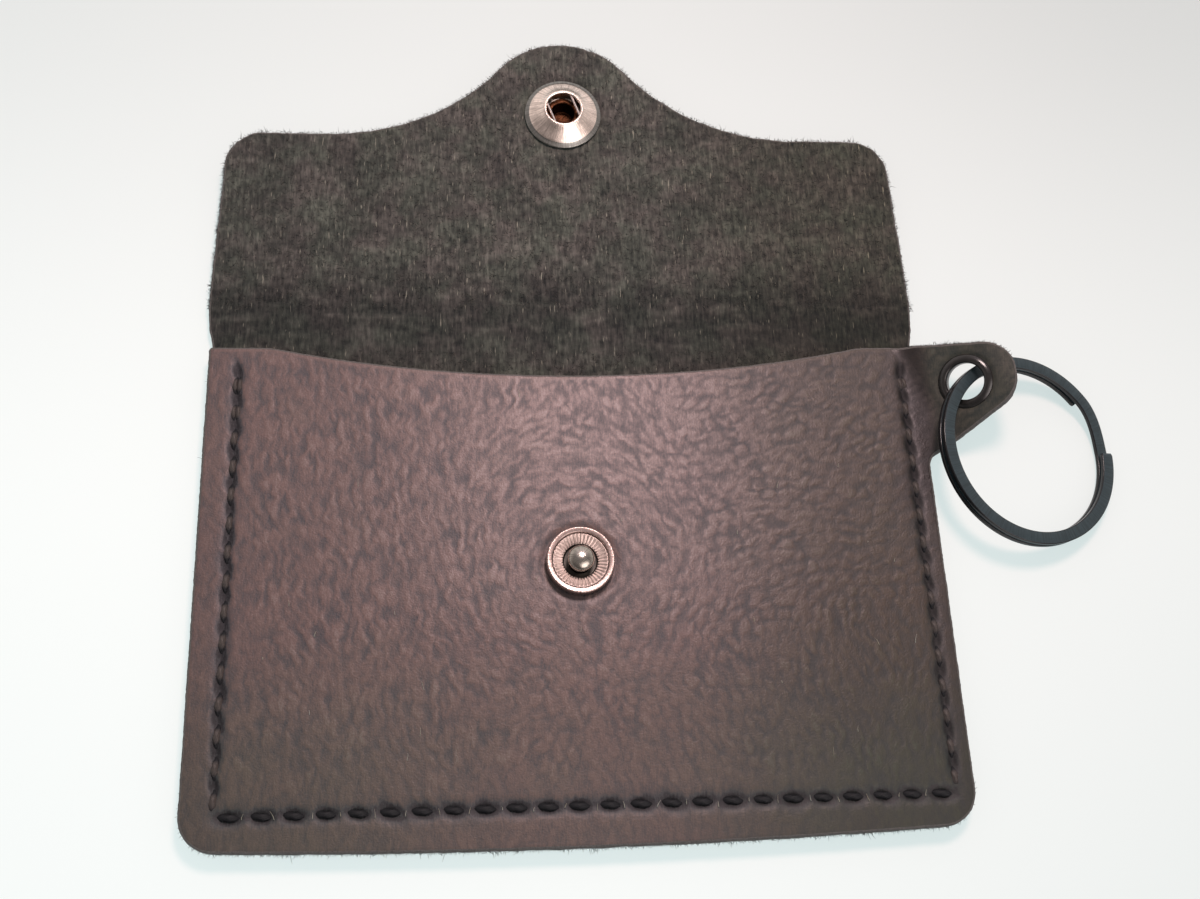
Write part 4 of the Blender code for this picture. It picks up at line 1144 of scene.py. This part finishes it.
def add_stud(nickel, seat_shade, bowl, ball_metal):
    """Stud of the snap: a fluted ring, with shade painted dark into its seats, and the ball on its rivet."""
    def flutes(r, z, a):
        ridge = np.cos(a * 42)
        inner = below(r, 3.95, 0.2) * above(r, 2.35, 0.15) * (z > 0.3)
        return r + 0.04 * ridge * inner, z + 0.07 * ridge * inner

    ring = [(4.06, 1.2), (4.1, 1.38), (4.18, 1.43), (4.72, 1.52), (4.87, 1.4), (4.93, 1.1), (4.9, 0.05),
            (1.7, 0.05), (1.7, 0.12), (2.4, 0.14), (2.45, 0.55), (2.9, 0.66), (3.45, 0.84),
            (3.86, 1.06), (3.93, 1.02), (4.0, 1.02)]
    verts, tris, uv = lathe(ring, radius=0.09, segments=252, shape=flutes)
    # Painted shade: the seats round the post and the groove inside the rim take the dark plate; the flutes
    # take the bowl's copy of the nickel, lighter than the rim's, as painted light.
    reach, z = np.hypot(verts[:, 0], verts[:, 1]), verts[:, 2]
    inner = ((reach < 2.5) | (np.abs(reach - 4.01) < 0.05)) & (z > 0.07) & (z < 1.2)
    fluted = (reach < 3.98) & (z > 0.3)
    parts = np.where(inner[tris].any(1), 1, np.where(fluted[tris].all(1), 2, 0))
    on_front = (0, 0, STUD_BASE)
    add_piece("snap_stud_ring", (verts + on_front, tris, uv), [nickel, seat_shade, bowl],
              ["polished_nickel", "wallet", "stud_ring"], parts)
    angles = np.radians(range(81, -45, -9))
    post = [(0.0, 3.05)] + [(1.9 * math.cos(t), 2.05 + math.sin(t)) for t in angles]
    post += [(1.4, 1.05), (1.42, 0.75), (1.6, 0.6), (1.6, 0.5), (1.4, 0.45), (1.4, -1.85),
             (3.9, -1.85), (3.9, -2.25), (0, -2.25)]
    verts, tris, uv = lathe(post, radius=0.08, segments=96, closed=False)
    add_piece("snap_stud_post", (verts + on_front, tris, uv), [ball_metal],
              ["polished_nickel", "wallet", "stud_post"])


def add_socket(nickel, dull, wire_steel, copper):
    """Socket plate on the suede, its bent wire spring, and the cap whose tube is rolled over inside."""
    def add(name, shape, level, materials, slot, node, parts=None):
        verts, tris, uv = shape
        add_piece(name, (on_flap(verts, level), tris, uv), materials, [slot, "flap", node], parts)

    socket = [(2.72, 1.95), (2.8, 2.2), (3.02, 2.27), (3.34, 2.1), (3.8, 1.72), (4.3, 1.38),
              (4.9, 1.04), (5.35, 0.78), (5.62, 0.56), (5.9, 0.44), (6.14, 0.34), (6.24, 0.2),
              (6.2, 0.06), (2.25, 0.06), (2.25, 0.32), (2.95, 0.32), (2.95, 1.95)]
    plate = lathe(socket, radius=0.14, segments=128)
    # rim marks the flange and the underside, which take the darker copy of the nickel: a painted dark
    # reflection.
    rim = (np.hypot(plate[0][:, 0], plate[0][:, 1]) > 5.5) | (plate[0][:, 2] < 0.33)
    add("snap_socket_plate", plate, LEATHER, [nickel, dull], "polished_nickel", "snap_socket",
        np.where(rim[plate[1]].all(1), 1, 0))
    bend = arc((0, 0), radius=3.07, start=47, end=133, steps=21)
    x, y = bend[0]
    leg = [(x, v) for v in np.linspace(0.15 - y, y, 12)[:-1]]
    turn = math.radians(20)
    spin = np.array([[math.cos(turn), math.sin(turn)], [-math.sin(turn), math.cos(turn)]])
    route = np.array(leg + bend + [(-u, v) for u, v in reversed(leg)]) @ spin
    wire_z = 1.75
    wire = tube(np.hstack([route, np.full((len(route), 1), wire_z)]), radius=0.21, sides=12)
    add("snap_spring_wire", wire, LEATHER, [wire_steel], "spring_steel", "socket_spring")

    def petals(r, z, a):
        drop = (1 - np.abs(np.sin(a * 3)) ** 0.35) * above(r, 2.0, 0.5)
        return r - 0.22 * drop, z - 0.1 * drop

    cap = [(0, -0.3), (1.7, -0.25), (1.8, -0.1), (1.8, LEATHER + 0.55), (1.95, LEATHER + 0.72),
           (2.5, LEATHER + 0.72), (2.78, LEATHER + 0.6), (2.72, LEATHER + 0.42), (2.12, LEATHER + 0.4),
           (2.1, -0.12), (6.05, -0.12), (6.42, -0.32), (6.5, -0.7), (6.2, -1.15), (5.4, -1.55),
           (4.0, -1.85), (2.2, -2.0), (0, -2.05)]
    shell = lathe(cap, radius=0.1, segments=96, closed=False, shape=petals)
    # Inside the tube the cap takes the darkened copper: shade painted into the bore.
    tube_inside = (np.hypot(shell[0][:, 0], shell[0][:, 1]) < 2.9) & (shell[0][:, 2] > -0.31)
    add("snap_cap_shell", shell, 0, [nickel, copper], "polished_nickel", "snap_cap",
        np.where(tube_inside[shell[1]].all(1), 1, 0))


def add_eyelet(black):
    """Eyelet rolled over both faces of the tab, which it follows in its tilt."""
    upper = [(2.8, 0.45), (2.83, 0.78), (2.98, 0.98), (3.25, 1.08), (3.55, 1.04), (3.9, 0.88),
             (4.12, 0.7), (4.16, 0.56), (3.1, 0.56)]
    verts, tris, uv = lathe(upper + [(r, -z) for r, z in reversed(upper)], radius=0.1, segments=96)
    n = Vector((*(-math.sin(TAB_ANGLE) * TAB_WAY), math.cos(TAB_ANGLE)))
    turn = np.array(n.to_track_quat("Z", "Y").to_matrix())
    add_piece("tab_grommet", (verts @ turn.T + front_middle(*np.array(EYELET_FLAT)), tris, uv), [black],
              ["black_enamel", "wallet", "tab_eyelet"])


def ring_level(angle):
    """Height of the ring's wire: its lower turn, the step up and its upper turn."""
    step = (0.69 + 0.42) / 2
    return step * (2 * above(angle, 362.0, 36.0) - 1)


def add_ring(satin, gloss):
    """Split ring: one flat wire, two turns and the step between them. Its flat faces are satin."""
    angles = np.linspace(39.0, 721.0, 456)
    a = np.radians(angles)
    wide, thick, edge = 0.95, 0.345, 0.13
    section = []
    for cx, cy, start in ((1, 1, 0), (-1, 1, 90), (-1, -1, 180), (1, -1, 270)):
        section += arc((cx * (wide - edge), cy * (thick - edge)), edge, start, start + 90, 3)
    section = np.array(section)
    count, sides = len(a), len(section)
    shrink = np.ones((count, 1))
    shrink[[0, -1]] = 0.86
    radial = RING_RADIUS + section[:, 0] * shrink
    level = ring_level(angles)[:, None] + section[:, 1] * shrink
    verts = np.stack([radial * np.cos(a)[:, None], radial * np.sin(a)[:, None], level], 2)
    ids = np.arange(count * sides).reshape(count, sides)
    tris = [ring_faces(ring, following) for ring, following in zip(ids, ids[1:])]
    for ring, order in ((ids[0], 1), (ids[-1], -1)):
        tris.append(np.array([(ring[0], ring[k], ring[k + 1])[::order] for k in range(1, sides - 1)]))
    flat_faces = np.tile(np.isin(np.arange(sides), (3, 11)), 2 * (count - 1))
    parts = np.concatenate([flat_faces, np.zeros(2 * (sides - 2))])
    uphill = Vector((math.cos(RING_UPHILL), math.sin(RING_UPHILL), 0))
    turn = np.array(Matrix.Rotation(RING_TILT, 3, uphill.cross(Vector((0, 0, 1)))))
    uv = np.stack([np.repeat(a * RING_RADIUS, sides), np.tile(np.linspace(0, 5.2, sides), count)], 1)
    add_piece("split_ring", (verts.reshape(-1, 3) @ turn.T + RING_CENTRE, np.vstack(tris), uv),
              [gloss, satin], ["black_plated_steel", "key_ring", "key_ring"], parts)


def edge_roots(outline, per_mm, span, place, seed):
    """Random roots, outward directions and lengths along the part of an outline that span keeps."""
    rng = np.random.default_rng(seed)
    loop = resample(outline, 1 / per_mm)
    n = outward(loop)
    keep = span(*loop.T)
    loop, n = loop[keep] - n[keep] * 0.12, n[keep]
    h = rng.uniform(-0.7, 0.85, len(loop))
    roots = place(*loop.T, h)
    ways = place(*(loop + n).T, h) - roots + rng.normal(0, 0.6, roots.shape)
    tuft = 0.7 + 1.6 * np.clip(noise(*(loop / 1.8).T, seed), 0, 1) ** 2
    lengths = (0.26 + rng.gamma(1.3, 0.12, len(loop))) * tuft
    return roots, ways, np.minimum(lengths, 1.3)


def add_fibres(hair):
    """Loose fibres of the cut edges and the nap of the suede, short where the ring passes."""
    rng = np.random.default_rng(12)
    body, front = body_outline(), front_outline()
    low, mouth, right = -30, 33, 53
    flap = [edge_roots(body, 20.0, lambda x, y: y > FOLD_Y + 3.5, body_place, 21)]
    roots, _, lengths = flap[0]
    over_ring, ring_span, short = 2 * FOLD_Y - RING_CENTRE[1], 9, 0.35
    by_ring = (roots[:, 0] > right) & (np.abs(roots[:, 1] - over_ring) < ring_span)
    lengths[by_ring] = np.minimum(lengths[by_ring], short)
    wallet = [edge_roots(body, 6.0, lambda x, y: y < low, body_place, 22),
              edge_roots(front, 3.0, lambda x, y: y < low, front_place, 23),
              edge_roots(front, 24.0, lambda x, y: (x > right) & (y > 30), front_place, 24),
              edge_roots(body, 1.5, lambda x, y: (y > low) & (y < mouth), body_place, 25)]
    count = 14000
    spots = rng.uniform((-55, FOLD_Y - 9), (55, FOLD_Y + 51), (count, 2))
    from_snap = np.hypot(*(spots - (0.0, FOLD_Y + SNAP_FROM_FOLD)).T)
    spots = spots[inside(spots, resample(body, 0.8)) & (from_snap > 6.6)]
    spots = spots[np.abs(spots[:, 1] - FOLD_Y) > FOLD_REACH + 0.3]
    a = rng.uniform(0, 2 * np.pi, len(spots))
    x, y = spots.T
    roots = body_place(x, y, LEATHER / 2 + 0.02 + 0.085 * nap(x, y)[0])
    ways = np.stack([np.cos(a), np.sin(a), rng.uniform(0.15, 0.75, len(a))], 1)
    lengths = rng.uniform(0.35, 1.0, len(a))
    for name, rides, sets, mask in (("flap_fibres", "flap", flap, y > FOLD_Y),
                                    ("pocket_fibres", "wallet", wallet, y <= FOLD_Y)):
        pieces = [strands(*one, width=0.1, curl=0.45, seed=30 + i) for i, one in enumerate(sets)]
        pieces.append(strands(roots[mask], ways[mask], lengths[mask], width=0.075, curl=0.6, seed=40))
        verts, tris, uv = join(pieces)
        verts[:, 2] = np.maximum(verts[:, 2], 0.01)
        add_piece(name, (verts, tris, uv), [hair], ["flap_leather", rides])


def add_lint(pale):
    """A few pale specks of lint that lie on the front and between the stitches of the bottom row."""
    rng = np.random.default_rng(51)
    spots = rng.uniform((-46, -30), (48, 26), (26, 2))
    spots = spots[np.hypot(spots[:, 0], spots[:, 1]) > 6]
    row = HOLES[ON_BOTTOM][1:-1]
    spots = np.vstack([spots, row + rng.uniform((-0.4, -0.8), (0.4, -0.2), row.shape)])
    roots = front_place(*spots.T, LEATHER / 2 + 0.04)
    ways = np.stack([rng.normal(0, 0.2, len(spots)), np.ones(len(spots)), np.zeros(len(spots))], 1)
    lint = strands(roots, ways, rng.uniform(0.5, 1.3, len(spots)), width=0.11, curl=0.3, seed=52)
    add_piece("pocket_lint", lint, [pale], ["brown_leather", "wallet"])


def build():
    bpy.context.scene.view_settings.view_transform = "Standard"
    add_camera()
    add_world()
    add_lamp("key", (0.036, 0.13, 0.27), size=0.07, colour=(1.0, 0.80, 0.77), energy=0.51)
    add_floor()
    grain_brown = grained_leather("brown_grain", crease=(0.046, 0.041, 0.044),
                                  crown=(0.180, 0.097, 0.080), worn=(0.220, 0.134, 0.116))
    grain_black = grained_leather("dark_grain", crease=(0.030, 0.025, 0.024),
                                  crown=(0.100, 0.072, 0.066), worn=(0.120, 0.090, 0.082))
    nap_side = suede("charcoal_suede", low=(0.018, 0.017, 0.016), high=(0.172, 0.150, 0.127))
    edge = cut_edge("cut_leather_edge")
    thread = waxed_thread("waxed_black_thread")
    nickel = plated("nickel_plate", (0.98, 0.84, 0.75), rough=0.3, lines=0.03)
    # Painted light on the nickel: the stud's rim, bowl and ball are darker copies of the socket's nickel,
    # each darkened to how much light it reflects, the ball also greyer; the dark plate in the stud's seats
    # is painted shade.
    stud_nickel = plated("stud_nickel", (0.54, 0.42, 0.385), rough=0.3, lines=0.03)
    bowl = plated("stud_bowl", (0.86, 0.69, 0.63), rough=0.5, lines=0.02)
    # The socket's flange is a darker copy of its nickel, a painted dark reflection.
    flange_shade = plated("dulled_nickel", (0.30, 0.30, 0.28), rough=0.34, lines=0.02)
    seat_shade = plated("tarnished_plate", (0.07, 0.065, 0.06), rough=0.35)
    ball_metal = plated("nickel_ball", (0.46, 0.43, 0.38), rough=0.2, lines=0.01)
    wire_steel = plated("bright_wire", (0.70, 0.62, 0.58), rough=0.2)
    # The rosette's copper is darkened as painted shade in the bore.
    copper = plated("brown_rosette", (0.060, 0.024, 0.012), rough=0.3, lines=0.03)
    black = plated("black_gloss", (0.018, 0.015, 0.014), rough=0.2, metallic=0.0, tint=(0.028, 0.022, 0.020))
    satin = plated("ring_satin", (0.054, 0.075, 0.083), rough=0.42, lines=0.01, metallic=0.4)
    gloss = plated("ring_gloss", (0.014, 0.014, 0.015), rough=0.14, metallic=0.3)
    add_body(grain_black, nap_side, edge)
    add_front(grain_brown, nap_side, edge)
    add_stitches(thread)
    add_stud(stud_nickel, seat_shade, bowl, ball_metal)
    add_socket(nickel, flange_shade, wire_steel, copper)
    add_eyelet(black)
    add_ring(satin, gloss)
    add_fibres(loose_fibre("loose_fibre"))
    add_lint(plated("pale_lint", (0.42, 0.34, 0.24), rough=0.7, metallic=0.0, tint=(0.6, 0.55, 0.5)))


build()
